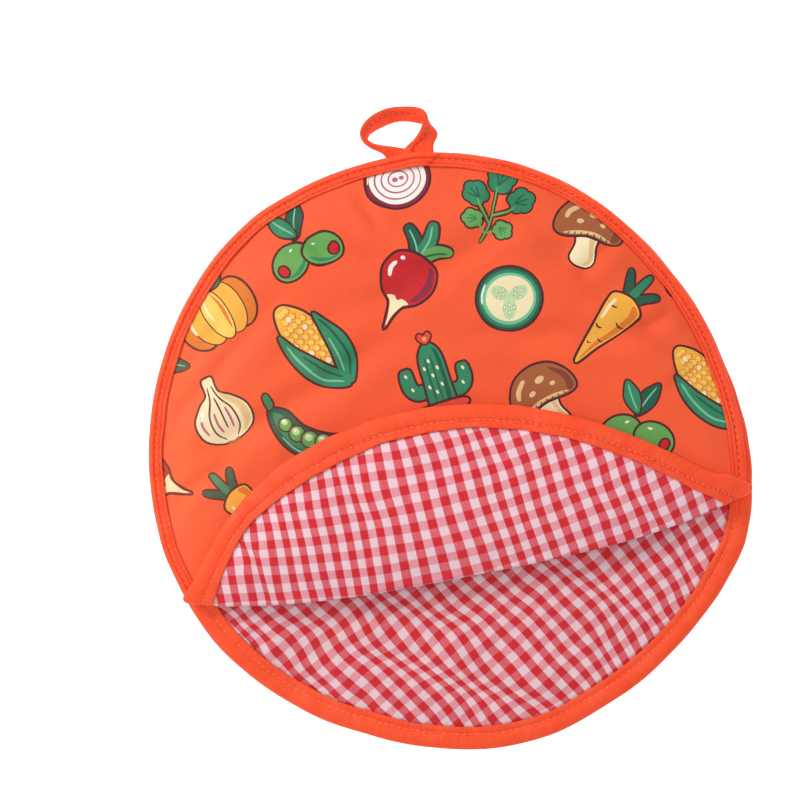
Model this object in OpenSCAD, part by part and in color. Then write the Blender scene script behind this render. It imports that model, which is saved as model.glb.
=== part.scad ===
// Round insulated cloth pouch that keeps flat breads warm.
// Two quilted discs, each with its edge bound in tape, are sewn together
// round the upper part of their rims. The lower part of the front disc is
// a flap, shown folded back, so the pocket stands open. A tape loop at the
// top hangs the pouch up.
// Frame: the pouch lies on its back at z = 0, the origin is the centre of
// the back disc's underside, +Y points to the hanging loop, +X is right.

/* [Panels] */
// Diameter of the back disc over its binding
back_d = 305; // [300:1:312]
// Diameter of the front disc over its binding
front_d = 296; // [292:1:299]
// Thickness of the printed outer cloth
outer_t = 0.5; // [0.3:0.1:0.8]
// Thickness of the wadding
wadding_t = 2.4; // [1.8:0.1:4]
// Thickness of the heat reflecting film
film_t = 0.2; // [0.1:0.05:0.3]
// Thickness of the checked cotton lining
lining_t = 0.5; // [0.3:0.1:0.8]
// How far the stitched binding squeezes the wadding
squeeze = 0.8; // [0.4:0.1:1]

/* [Binding] */
// Width of the binding tape on each face
binding_w = 12; // [9:0.5:14]
// Thickness of the binding tape
tape_t = 0.6; // [0.4:0.1:0.8]
// Distance of the binding stitch from the tape's inner edge
stitch_in = 2.5; // [1.5:0.25:3.5]
// Distance of the closing seam from the front disc's edge
seam_in = 4; // [3:0.25:6]
// Width of a thread
thread_w = 0.4; // [0.3:0.1:0.6]
// Depth of a thread in the tape
thread_h = 0.3; // [0.2:0.1:0.4]

/* [Pocket] */
// Free height between the two discs in the middle
pocket_h = 6; // [5:0.5:9]
// Radius at which the front disc begins to slope to its rim
crown_r = 112; // [100:1:116]
// Distance of the closing seam's two ends below the centre
seam_end = 50; // [40:1:56]

/* [Flap] */
// Distance of the fold line below the centre
fold_y = 62.5; // [58:0.5:70]
// Space between the front disc and the folded flap at the fold
fold_gap = 1.4; // [1:0.1:3]
// Angle by which the folded flap springs up from the front disc
flap_lift = 5; // [0:0.5:12]

/* [Hanging loop] */
// Sideways place of the loop's middle
loop_x = 6.5; // [-10:0.5:12]
// Width of the loop outside
loop_w = 40; // [34:1:46]
// Reach of the loop outside, along Y
loop_l = 25; // [22:1:34]
// Width of the loop's folded tape
loop_tape = 9.6; // [8:0.2:9.6]
// Thickness of the loop's folded tape
loop_t = 1.8; // [1.4:0.1:2.4]
// Width of the two sewn tape ends side by side
tail_w = 23; // [18:1:26]

/* [Hidden] */
$fn = 120;

printed = [0.97, 0.33, 0.18];
tape = [1.0, 0.32, 0.13];
lining_c = [0.86, 0.45, 0.48];
wadding_c = [0.94, 0.94, 0.92];
film_c = [0.8, 0.82, 0.84];
thread_c = [1.0, 0.38, 0.2];

r_b = back_d / 2;
r_f = front_d / 2;
pad_t = outer_t + wadding_t + film_t + lining_t;
rim_t = pad_t - squeeze;
bound_t = rim_t + 2 * tape_t;
front_z = pad_t + pocket_h;
front_rim_z = bound_t;
mid_z = front_z + pad_t / 2;
hinge_z = front_z + pad_t + fold_gap / 2;
clear_y = 0.3;
clear_flap = 0.6;
big = 400;

// Heights of the layer faces above the panel's lower face, free and
// squeezed, for the back disc (outer cloth below) and the front disc
// (lining below)
function stack_back(c) = [0, outer_t, outer_t + wadding_t - c * squeeze,
    outer_t + wadding_t + film_t - c * squeeze, pad_t - c * squeeze];
function stack_front(c) = [0, lining_t, lining_t + film_t,
    lining_t + film_t + wadding_t - c * squeeze, pad_t - c * squeeze];

// Stations of a panel: radius, height of its lower face, squeezed or not
back_st = [[0, 0, 0], [r_b - binding_w - 2, 0, 0],
           [r_b - binding_w, tape_t, 1], [r_b - tape_t, tape_t, 1]];
upper_st = [[0, front_z, 0], [crown_r, front_z, 0],
            [r_f - binding_w - 2, front_rim_z + tape_t - 0.2, 0],
            [r_f - binding_w, front_rim_z + tape_t, 1],
            [r_f - tape_t, front_rim_z + tape_t, 1]];
flap_st = [[0, front_z, 0], [r_f - binding_w - 2, front_z, 0],
           [r_f - binding_w, mid_z - rim_t / 2, 1],
           [r_f - tape_t, mid_z - rim_t / 2, 1]];

// One layer of the back disc, k = 0 outer cloth to 3 lining
module back_layer(k)
    rotate_extrude() polygon(concat(
        [for (s = back_st) [s[0], s[1] + stack_back(s[2])[k]]],
        [for (i = [len(back_st) - 1:-1:0])
            [back_st[i][0], back_st[i][1] + stack_back(back_st[i][2])[k + 1]]]));

// One layer of the front disc, k = 0 lining to 3 outer cloth
module front_layer(st, k)
    rotate_extrude() polygon(concat(
        [for (s = st) [s[0], s[1] + stack_front(s[2])[k]]],
        [for (i = [len(st) - 1:-1:0])
            [st[i][0], st[i][1] + stack_front(st[i][2])[k + 1]]]));

// Tape folded over a disc's edge: two legs and the turned edge
module bound_edge(r, z)
    rotate_extrude() polygon([
        [r - binding_w, z], [r, z], [r, z + bound_t],
        [r - binding_w, z + bound_t], [r - binding_w, z + bound_t - tape_t],
        [r - tape_t, z + bound_t - tape_t], [r - tape_t, z + tape_t],
        [r - binding_w, z + tape_t]]);

// A thread's run round the disc, its lower face at height z
module stitch_ring(r, z)
    rotate_extrude() translate([r - thread_w / 2, z])
        square([thread_w, thread_h]);

// The upper and the lower run of a binding stitch
module stitch_pair(r, z) {
    stitch_ring(r, z);
    stitch_ring(r, z + bound_t - thread_h);
}

// The closing seam's run between the pocket mouth's two ends
seam_r = r_f - seam_in;
seam_a = asin(seam_end / seam_r);
module seam_run(z)
    rotate([0, 0, -seam_a]) rotate_extrude(angle = 180 + 2 * seam_a)
        translate([seam_r - thread_w / 2, z]) square([thread_w, thread_h]);

// Part of the front disc above the fold line
module above_fold()
    intersection() {
        children();
        translate([-big, clear_y - fold_y, -10]) cube([2 * big, big, 60]);
    }

// Part of the front disc below the fold line, folded back on the front
module folded_back()
    translate([0, -fold_y, hinge_z]) rotate([flap_lift - 180, 0, 0])
        translate([0, fold_y, -hinge_z]) intersection() {
            children();
            translate([-big, -fold_y - clear_flap - big, -10])
                cube([2 * big, big, 60]);
        }

// ---- back disc ----
module back_outer() color(printed) back_layer(0);
module back_wadding() color(wadding_c) back_layer(1);
module back_heat_film() color(film_c) back_layer(2);
module back_lining() color(lining_c) back_layer(3);
module back_binding() color(tape) difference() {
    bound_edge(r_b, 0);
    stitch_pair(r_b - binding_w + stitch_in, 0);
    seam_run(0);
}
module back_binding_thread() color(thread_c)
    stitch_pair(r_b - binding_w + stitch_in, 0);

// ---- front disc above the fold ----
module front_outer_upper() color(printed)
    above_fold() front_layer(upper_st, 3);
module front_wadding_upper() color(wadding_c)
    above_fold() front_layer(upper_st, 2);
module front_heat_film_upper() color(film_c)
    above_fold() front_layer(upper_st, 1);
module front_lining_upper() color(lining_c)
    above_fold() front_layer(upper_st, 0);
module front_binding_upper() color(tape) difference() {
    above_fold() bound_edge(r_f, front_rim_z);
    stitch_pair(r_f - binding_w + stitch_in, front_rim_z);
    seam_run(front_rim_z + bound_t - thread_h);
}
module front_binding_thread_upper() color(thread_c) above_fold()
    stitch_pair(r_f - binding_w + stitch_in, front_rim_z);
// Seam through both rims: its top run and its run on the underside
module closing_seam_thread() color(thread_c) {
    seam_run(0);
    seam_run(front_rim_z + bound_t - thread_h);
}

// ---- front flap below the fold ----
module front_outer_flap() color(printed)
    folded_back() front_layer(flap_st, 3);
module front_wadding_flap() color(wadding_c)
    folded_back() front_layer(flap_st, 2);
module front_heat_film_flap() color(film_c)
    folded_back() front_layer(flap_st, 1);
module front_lining_flap() color(lining_c)
    folded_back() front_layer(flap_st, 0);
module front_binding_flap() color(tape) folded_back() difference() {
    bound_edge(r_f, mid_z - bound_t / 2);
    stitch_pair(r_f - binding_w + stitch_in, mid_z - bound_t / 2);
}
module front_binding_thread_flap() color(thread_c) folded_back()
    stitch_pair(r_f - binding_w + stitch_in, mid_z - bound_t / 2);

// ---- hanging loop ----
// The tape ends lie on the back disc's rim against the front disc's edge.
// The loop stands on edge and bends at the end of these tails.
tail_t = 1.6;
tail_z = bound_t;
axis_y = r_b + 3;
axis_z = tail_z + tail_t / 2;
tail_x = loop_x + 4;
loop_y = axis_y + 0.6 + loop_l / 2;

module loop_tail() color(tape) difference() {
    translate([tail_x - tail_w / 2, r_f - 4, tail_z])
        cube([tail_w, axis_y - 0.8 - (r_f - 4), tail_t]);
    translate([0, 0, tail_z - 1]) cylinder(r = r_f, h = tail_t + 2);
}
module loop_tack_thread() color(thread_c)
    translate([tail_x - tail_w / 2 + 1, r_b - 1.4, tail_z + tail_t])
        cube([tail_w - 2, 1.2, thread_h]);

// Oval outline with half widths a and b
module oval(a, b)
    polygon([for (i = [0:71]) [a * cos(5 * i), b * sin(5 * i)]]);

// Closed oval band, its outside a by b, t thick, from z0 to z1
module band(a, b, t, z0, z1)
    translate([loop_x, loop_y, z0]) linear_extrude(z1 - z0) difference() {
        oval(a, b);
        oval(a - t, b - t);
    }

// Space the band keeps to near its bend, so it can swing past the rim
module swing_wedge() {
    k = loop_tape / 2 + 1;
    translate([-big / 2, 0, 0]) rotate([90, 0, 90]) linear_extrude(big)
        polygon([[axis_y, axis_z],
                 [axis_y + k / tan(50), axis_z - k],
                 [axis_y + 60, axis_z - k], [axis_y + 60, axis_z + k],
                 [axis_y + k / tan(50), axis_z + k]]);
}
module hanging_loop() color(tape) intersection() {
    band(loop_w / 2, loop_l / 2, loop_t,
         axis_z - loop_tape / 2, axis_z + loop_tape / 2);
    swing_wedge();
}
// The stitch along the loop's upper edge, on its outer face
module hanging_loop_thread() color(thread_c) intersection() {
    band(loop_w / 2 + thread_h, loop_l / 2 + thread_h, thread_h,
         axis_z + loop_tape / 2 - 1.6, axis_z + loop_tape / 2 - 1.2);
    swing_wedge();
}

back_outer();
back_wadding();
back_heat_film();
back_lining();
back_binding();
back_binding_thread();
front_outer_upper();
front_wadding_upper();
front_heat_film_upper();
front_lining_upper();
front_binding_upper();
front_binding_thread_upper();
closing_seam_thread();
front_outer_flap();
front_wadding_flap();
front_heat_film_flap();
front_lining_flap();
front_binding_flap();
front_binding_thread_flap();
loop_tail();
loop_tack_thread();
hanging_loop();
hanging_loop_thread();
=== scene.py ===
"""Round padded cloth pouch for keeping flat breads warm, lying open: printed
outside, gingham lining, taped edges, front flap folded back, hanging loop.

All lengths inside the helpers are in millimetres, in the pouch's own frame
(+Z up, +Y to the hanging loop); meshes are made in metres.
"""
import bpy
import math
import numpy as np
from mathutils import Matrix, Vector
from mathutils.geometry import delaunay_2d_cdt


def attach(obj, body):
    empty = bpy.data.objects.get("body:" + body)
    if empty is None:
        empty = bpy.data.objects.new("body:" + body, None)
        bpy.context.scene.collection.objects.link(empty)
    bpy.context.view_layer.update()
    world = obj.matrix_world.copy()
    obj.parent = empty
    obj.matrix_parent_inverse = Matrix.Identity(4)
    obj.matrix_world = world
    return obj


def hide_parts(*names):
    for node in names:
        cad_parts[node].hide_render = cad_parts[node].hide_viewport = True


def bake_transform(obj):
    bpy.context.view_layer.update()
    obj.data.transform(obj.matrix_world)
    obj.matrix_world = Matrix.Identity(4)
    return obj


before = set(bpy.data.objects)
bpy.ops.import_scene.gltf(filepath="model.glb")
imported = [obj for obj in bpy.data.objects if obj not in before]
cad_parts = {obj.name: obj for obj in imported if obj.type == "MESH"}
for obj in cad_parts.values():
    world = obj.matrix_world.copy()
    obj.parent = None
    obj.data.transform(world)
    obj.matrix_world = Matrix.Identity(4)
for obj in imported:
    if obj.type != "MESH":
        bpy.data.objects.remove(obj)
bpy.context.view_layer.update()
MM = 0.001
TAU = 2 * math.pi

# --------------------------------------------------------------------------
# camera, lights, floor
# --------------------------------------------------------------------------
scene = bpy.context.scene
cam_data = bpy.data.cameras.new("camera")
cam_data.lens = 85
cam_data.sensor_width = 36
cam = bpy.data.objects.new("camera", cam_data)
scene.collection.objects.link(cam)
cam.location = (-0.0180, 0.0310, 0.9665)
cam.rotation_euler = (0, 0, -math.radians(11))
scene.camera = cam
scene.view_settings.view_transform = "Standard"
scene.view_settings.look = "None"


def area_light(name, loc, size, power, target=(0, 0, 0), color=(1, 1, 1)):
    d = bpy.data.lights.new(name, "AREA")
    d.shape = "DISK"
    d.size = size
    d.energy = power
    d.color = color
    o = bpy.data.objects.new(name, d)
    scene.collection.objects.link(o)
    o.location = loc
    o.rotation_mode = "QUATERNION"
    o.rotation_quaternion = (Vector(target) - Vector(loc)).to_track_quat("-Z", "Y")
    return o


area_light("key", (-0.42, 0.16, 1.75), 0.6, 6.5, color=(1.0, 0.995, 0.98))
area_light("side", (-0.85, 0.82, 0.72), 0.45, 10.5, color=(1.0, 0.985, 0.965))
area_light("fill", (0.9, -0.7, 1.2), 1.3, 0.8, color=(0.98, 0.99, 1.0))
world = bpy.data.worlds.new("soft")
scene.world = world
world.use_nodes = True
world.node_tree.nodes["Background"].inputs[0].default_value = (0.97, 0.985, 1, 1)
world.node_tree.nodes["Background"].inputs[1].default_value = 0.60


# --------------------------------------------------------------------------
# small maths
# --------------------------------------------------------------------------
def sstep(a, b, x):
    t = np.clip((np.asarray(x, float) - a) / (b - a), 0, 1)
    return t * t * (3 - 2 * t)


def _hash(ix, iy, seed):
    n = (ix.astype(np.int64) * 374761393 + iy.astype(np.int64) * 668265263
         + seed * 974634777) & 0xFFFFFFFF
    n = ((n ^ (n >> 13)) * 1274126177) & 0xFFFFFFFF
    return ((n ^ (n >> 16)) & 0xFFFF) / 32767.5 - 1.0


def noise(x, y, seed=0):
    """Smooth noise from -1 to 1."""
    x, y = np.broadcast_arrays(np.asarray(x, float), np.asarray(y, float))
    ix, iy = np.floor(x), np.floor(y)
    fx, fy = x - ix, y - iy
    fx = fx * fx * fx * (fx * (fx * 6 - 15) + 10)
    fy = fy * fy * fy * (fy * (fy * 6 - 15) + 10)
    ix, iy = ix.astype(np.int64), iy.astype(np.int64)
    a, b = _hash(ix, iy, seed), _hash(ix + 1, iy, seed)
    c, d = _hash(ix, iy + 1, seed), _hash(ix + 1, iy + 1, seed)
    return (a + (b - a) * fx) * (1 - fy) + (c + (d - c) * fx) * fy


def ring_noise(phi, n, seed=0):
    """Smooth noise round a circle with about n knots."""
    t = (np.asarray(phi, float) % TAU) / TAU * n
    i = np.floor(t)
    f = t - i
    f = f * f * (3 - 2 * f)
    i = i.astype(np.int64)
    z = np.zeros_like(i)
    return _hash(i % n, z, seed) * (1 - f) + _hash((i + 1) % n, z, seed) * f


def lin(c):
    """A display colour 0-255 as linear RGBA."""
    out = []
    for v in c[:3]:
        v = v / 255
        out.append(v / 12.92 if v <= 0.04045 else ((v + 0.055) / 1.055) ** 2.4)
    return (*out, 1.0)


# --------------------------------------------------------------------------
# the front disc: flat cloth coordinates (u, v) to its folded shape
# --------------------------------------------------------------------------
R_BACK = 152.5
LEG_LINING = 12.0    # binding's width on the lining side
LEG_OUTER = 7.6      # binding's width on the printed side
LEG_BACK = 12.0
STITCH_AT = 0.68     # stitch row, as a share of the binding's width

# The pouch isn't quite round: angle from +X, mm added to its radius
_shape_tab = np.array([
    (-90, 0.6), (-80, 1.1), (-68, 0.1), (-55, 1.0), (-45, 2.2), (-36, 4.4),
    (-28, 6.0), (-22, 5.4), (-15, 3.4), (-8, 1.1), (0, -1.4), (8, -3.3),
    (18, -4.5), (28, -4.9), (38, -4.2), (48, -2.5), (58, -1.1), (68, 0.0),
    (80, 0.8), (95, 1.0), (108, 1.8), (118, 2.8), (127, 2.5), (139, 1.0),
    (151, -0.2), (163, -0.7), (178, -0.5), (195, -0.7), (208, -0.4),
    (218, -1.2), (230, -2.1), (243, -3.1), (256, -1.9), (270, 0.6)])
# how far the front disc's edge lies inside the back's
_inset_tab = np.array([
    (-90, 4.6), (-60, 4.2), (-45, 5.0), (-33, 6.6), (-25, 6.0), (-18, 4.2), (-10, 3.5),
    (0, 2.5), (10, 1.7), (22, 1.2), (45, 0.8), (70, 0.55), (95, 0.5),
    (190, 0.5), (197, 0.7), (205, 1.3), (215, 1.8), (230, 1.2), (245, 0.9), (260, 3.2), (270, 4.6)])


def _table(phi, tab):
    a = (np.degrees(phi) + 90) % 360 - 90
    i = np.clip(np.searchsorted(tab[:, 0], a, "right") - 1, 0, len(tab) - 2)
    t = (a - tab[i, 0]) / (tab[i + 1, 0] - tab[i, 0])
    t = t * t * (3 - 2 * t) * 0.5 + t * 0.5
    return tab[i, 1] + (tab[i + 1, 1] - tab[i, 1]) * t


def rim(phi):
    a = np.degrees(phi) % 360
    return 152.6 + _table(phi, _shape_tab) + 0.9 * np.exp(-((a - 84.5) / 2.6) ** 2)


def front_edge(phi):
    return rim(phi) - _table(phi, _inset_tab) + 0.22 * ring_noise(phi, 46, 5)


def fold_edge(u):
    """y of the fold's outermost line."""
    return -63.0 + 14.4 * np.abs(np.asarray(u, float) / 146) ** 3.1


# Free edge of the folded flap: x, y
_flap_edge = np.array([(-149, -50), (-142, -45.4), (-136, -36.6), (-127, -25.2),
                       (-117, -13.6), (-103.2, -1.8), (-82.4, 11.0), (-58, 19.5),
                       (-31.6, 24.3), (-5.2, 25.0), (17.2, 22.3), (39.7, 17.3),
                       (59.3, 9.6), (78, 0.6), (96.8, -11.0), (114.5, -23.6),
                       (126.5, -33.1), (135.5, -38.5), (143.7, -43.6), (151, -46)])
PAD_H = 1.85      # free half thickness of a padded panel
RIM_H = 0.84      # half thickness where the binding squeezes it
FOLD_H = 0.9      # half thickness in the creased fold
HINGE_Z = 13.9


def outline_v(u):
    """v of the front disc's lower edge at u."""
    u = np.asarray(u, float)
    v = -np.sqrt(np.maximum(149.0 ** 2 - u ** 2, 0))
    for _ in range(8):
        r = front_edge(np.arctan2(v, u))
        v = 0.5 * v - 0.5 * np.sqrt(np.maximum(r ** 2 - u ** 2, 0))
    return v


_uu = np.linspace(-156, 156, 625)
_end = sstep(118, 138, np.abs(_uu))
_roll = 1.6 + 0.8 * _end
_yc = fold_edge(_uu) + _roll + FOLD_H + 1.1 * _end
_dx = np.where(_uu > 0, 4.2, -2.8) * sstep(112, 141, np.abs(_uu))
_flat_len = _yc - outline_v(_uu) - math.pi * _roll
_rest_len = np.interp(_uu + _dx, _flap_edge[:, 0], _flap_edge[:, 1]) - _yc
_k = np.clip(_rest_len / np.maximum(_flat_len, 4.0), 0.60, 1.34)
_k = np.convolve(np.pad(_k, 7, mode="edge"), np.ones(15) / 15, "valid")


def edge_dist(u, v):
    """Distance inward from the front disc's edge."""
    return front_edge(np.arctan2(v, u)) - np.hypot(u, v)


def fold_facts(u, v):
    """Distance past the fold's start, roll radius, closeness to the fold."""
    r = np.interp(u, _uu, _roll)
    s = np.interp(u, _uu, _yc) - v
    off = np.maximum(0, np.abs(s - math.pi * r / 2) - math.pi * r / 2)
    return s, r, np.exp(-(off / 9.0) ** 2)


def pad_half(u, v, leg=LEG_OUTER):
    """Half thickness of the padded front disc, out of the tape's leg."""
    u, v = np.asarray(u, float), np.asarray(v, float)
    d = edge_dist(u, v)
    h = RIM_H + 0.42 * sstep(leg - 1.3, leg + 0.7, d) + (PAD_H - RIM_H - 0.42) * sstep(leg - 0.2, leg + 12, d)
    near = fold_facts(u, v)[2] * sstep(8, 22, d)
    return h - (h - FOLD_H) * near


def gather(u, v, lines):
    """Soft folds along lines (x0, y0, x1, y1, width, drawn in, depth): how far
    the cloth's pattern is drawn across each, and the surface's rise."""
    u, v = np.asarray(u, float), np.asarray(v, float)
    dx, dy, dz = 0 * u, 0 * u, 0 * u
    for k, (x0, y0, x1, y1, w, amp, deep) in enumerate(lines):
        n = math.hypot(x1 - x0, y1 - y0)
        lx, ly = (x1 - x0) / n, (y1 - y0) / n
        a = ((u - x0) * lx + (v - y0) * ly) / n
        b = (v - y0) * lx - (u - x0) * ly + 0.3 * w * noise(a * n / 17, k + 0.5, 17)
        f = sstep(-0.22, 0.22, a) * sstep(1.22, 0.78, a)
        g = amp * np.tanh(b / w) * np.exp(-(b / (4.5 * w)) ** 2) * f
        dx, dy = dx - ly * g, dy + lx * g
        dz = dz - deep * f * (np.exp(-(b / w) ** 2) - 0.45 * np.exp(-((np.abs(b) - 2.0 * w) / (0.9 * w)) ** 2))
    return dx, dy, dz


CREASES = [(-120, 20, -20, 62, 6.5, 0, 2.04), (-135, 40, -70, 92, 6, 0, 1.53), (-20, 80, 66, 112, 7, 0, 1.70),
           (-60, 118, 10, 92, 5.5, 0, 1.53), (70, 100, 128, 22, 6.5, 0, 1.70), (20, 58, 118, 38, 6, 0, 1.53),
           (-92, 66, -30, 104, 8, 0, -0.77), (58, 62, 100, 84, 8, 0, -0.77),
           (-128, 62, -96, 88, 4.5, 0, 1.36), (-58, 133, -40, 108, 3.2, 0, 1.53), (52, 134, 44, 112, 3.4, 0, 1.36),
           (108, 92, 84, 76, 4, 0, 1.36), (134, 52, 108, 42, 4, 0, 1.36), (-140, 2, -108, 16, 4, 0, 1.36),
           (-20, 138, -12, 118, 3.2, 0, 1.19), (140, 18, 118, 12, 3.6, 0, 1.19)]
BACK_CREASES = [(-127.6, -53.7, -106, -77.7, 3.4, 2.3, 0.9), (-122, -63, -110.7, -90.3, 3.0, 1.8, 0.8),
                (-64, -57.7, -5, -88, 6.2, 3.4, 0.95), (-67.4, -87.3, -6, -121, 6.0, 3.3, 0.95),
                (-11, -119, 34, -139, 4.6, 2.4, 0.8), (39, -63, 69.5, -85.8, 5.2, 2.4, 0.8),
                (56.8, -108.3, 63.7, -128, 2.8, 1.3, 0.6), (106, -68, 109, -93, 3.6, 1.7, 0.6),
                (-111.8, -61, -75.7, -76.3, 4.2, 1.9, 0.7), (-99.7, -92.5, -73, -117.4, 3.6, 1.5, 0.6),
                (66, -86, 96, -109, 4.2, 1.4, 0.5), (-30, -60, 12, -74, 4.5, 1.4, 0.5)]
# on the turned-back lining, in the flap's seen-from-above coordinates
FLAP_CREASES = [(-109.5, -22, -104.6, -34, 1.9, 1.1, 0.55), (-105.5, -31, -101, -58, 2.1, 1.5, 0.6),
                (86, -33, 99, -55, 2.6, 1.2, 0.45), (66, -28, 78, -48, 3.0, 0.9, 0.35),
                (-60, 10, -44, -24, 3.4, 0.9, 0.35), (12, 16, 26, -12, 3.6, 0.9, 0.35)]


def mouth_end(phi):
    """Degrees from the nearer end of the mouth."""
    a = (np.degrees(phi) + 90) % 360 - 90
    return np.minimum(np.abs(a + 19.5), np.abs(a - 199.5))


def ring_half(phi):
    """Half thickness of the front binding, thinner where it folds."""
    return 2.0 - 0.5 * sstep(24, 9, mouth_end(phi))


def lining_leg(phi):
    """Width of the front binding on the lining side, drawn in where the flap
    is turned back by its corner."""
    return LEG_LINING - 3.3 * np.exp(-((np.degrees(phi) % 360 - 220) / 12) ** 2)


def front_height(u, v):
    """Middle surface's height of the front disc above the fold."""
    d = edge_dist(u, v)
    near = sstep(-5, -40, v)
    far = 36 - 21 * near
    low = 6.25 + 5.15 * sstep(27, 7, mouth_end(np.arctan2(v, u)))
    z = low + (11.4 - low) * sstep(3.5, far, d)
    soft = sstep(12, 36, d)
    dip = 0.5 + 0.5 * noise(u / 44 + 3, v / 44, 11)
    dip2 = 0.5 + 0.5 * noise(u / 21, v / 21, 12)
    z = z - soft * (0.85 * dip + 0.35 * dip2) * (1 - 0.75 * sstep(-20, -55, v))
    z = z + gather(u, v, CREASES)[2] * sstep(8, 17, d) * sstep(-30, 10, v)
    z = 11.42 - 0.5 * (11.42 - z + np.sqrt((11.42 - z) ** 2 + 0.12))
    # the loop's ends lie between the two rims
    z = z + 1.1 * np.exp(-((u - 10) / 15) ** 2) * sstep(20, 4, d) * (v > 0)
    g = fold_facts(u, v)[2]
    return z + (PAD_H - FOLD_H) * g * sstep(8, 22, d)


def front_point(u, v):
    """Middle surface of the front disc, folded."""
    u, v = np.asarray(u, float), np.asarray(v, float)
    yc = np.interp(u, _uu, _yc)
    k = np.interp(u, _uu, _k)
    flat = np.maximum(np.interp(u, _uu, _flat_len), 4.0)
    s, r, g = fold_facts(u, v)
    zb = front_height(u, np.maximum(v, yc))
    th = np.clip(s / r, 0, math.pi)
    past = np.maximum(s - math.pi * r, 0)
    t = np.clip(past / flat, 0, 1.15)
    x = u + np.interp(u, _uu, _dx) * sstep(0, 1, s / (math.pi * r))
    y = np.where(s <= 0, v, yc - r * np.sin(th) + past * k)
    swell = (PAD_H - FOLD_H) * (1 - g) * sstep(8, 22, flat)
    lift = 0.078 * past * k
    arch = 3.0 * np.sin(math.pi * np.clip(t, 0, 1)) * sstep(4, 60, flat)
    wave = t * (0.9 * noise(u / 38, v / 60, 21) + 0.4 * noise(u / 17, v / 40, 22)) \
        * sstep(4, 40, flat)
    z = np.where(s <= 0, zb, zb + r - r * np.cos(th) + swell + lift + arch + wave)
    return np.stack([x, y, z], -1)


def surface(point, u, v, e=0.25):
    """Points and unit normals of a mapped surface."""
    p = point(u, v)
    du = point(u + e, v) - point(u - e, v)
    dv = point(u, v + e) - point(u, v - e)
    n = np.cross(du, dv)
    n /= np.maximum(np.linalg.norm(n, axis=-1, keepdims=True), 1e-9)
    return p, n


def front_at(u, v, h):
    """Point at height h from the middle surface, h > 0 on the lining side."""
    p, n = surface(front_point, u, v)
    return p - n * np.asarray(h)[..., None]


def back_edge(phi):
    return rim(phi) + 0.22 * ring_noise(phi, 40, 8)


def back_point(u, v):
    u, v = np.broadcast_arrays(np.asarray(u, float), np.asarray(v, float))
    phi = np.arctan2(v, u)
    d = back_edge(phi) - np.hypot(u, v)
    # the sewn sides lift off the table towards the ends of the mouth
    return np.stack([u, v, 2.0 + 4.4 * sstep(29, 7, mouth_end(phi)) * sstep(58, 6, d)], -1)


def back_at(u, v, h):
    """h > 0 on the lining side, which is up."""
    p = back_point(u, v)
    p[..., 2] = np.maximum(p[..., 2] + np.asarray(h), 0.02)
    return p


# --------------------------------------------------------------------------
# meshes
# --------------------------------------------------------------------------
def make_mesh(name, verts, faces, body=None, smooth=True):
    """verts in millimetres, faces as an array of triangles or quads."""
    me = bpy.data.meshes.new(name)
    verts = np.asarray(verts, float) * MM
    faces = np.asarray(faces, np.int32)
    n = faces.shape[1]
    me.vertices.add(len(verts))
    me.vertices.foreach_set("co", verts.astype(np.float32).ravel())
    me.loops.add(faces.size)
    me.loops.foreach_set("vertex_index", faces.ravel())
    me.polygons.add(len(faces))
    me.polygons.foreach_set("loop_start", np.arange(0, faces.size, n, dtype=np.int32))
    me.polygons.foreach_set("loop_total", np.full(len(faces), n, np.int32))
    me.update(calc_edges=True)
    if smooth:
        me.polygons.foreach_set("use_smooth", np.ones(len(faces), bool))
    me.validate()
    o = bpy.data.objects.new(name, me)
    scene.collection.objects.link(o)
    return o


def add_vec(o, name, arr):
    a = o.data.attributes.new(name, "FLOAT_VECTOR", "POINT")
    out = np.zeros((len(o.data.vertices), 3), np.float32)
    arr = np.asarray(arr, np.float32)
    out[:, :arr.shape[1]] = arr
    a.data.foreach_set("vector", out.ravel())


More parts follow.
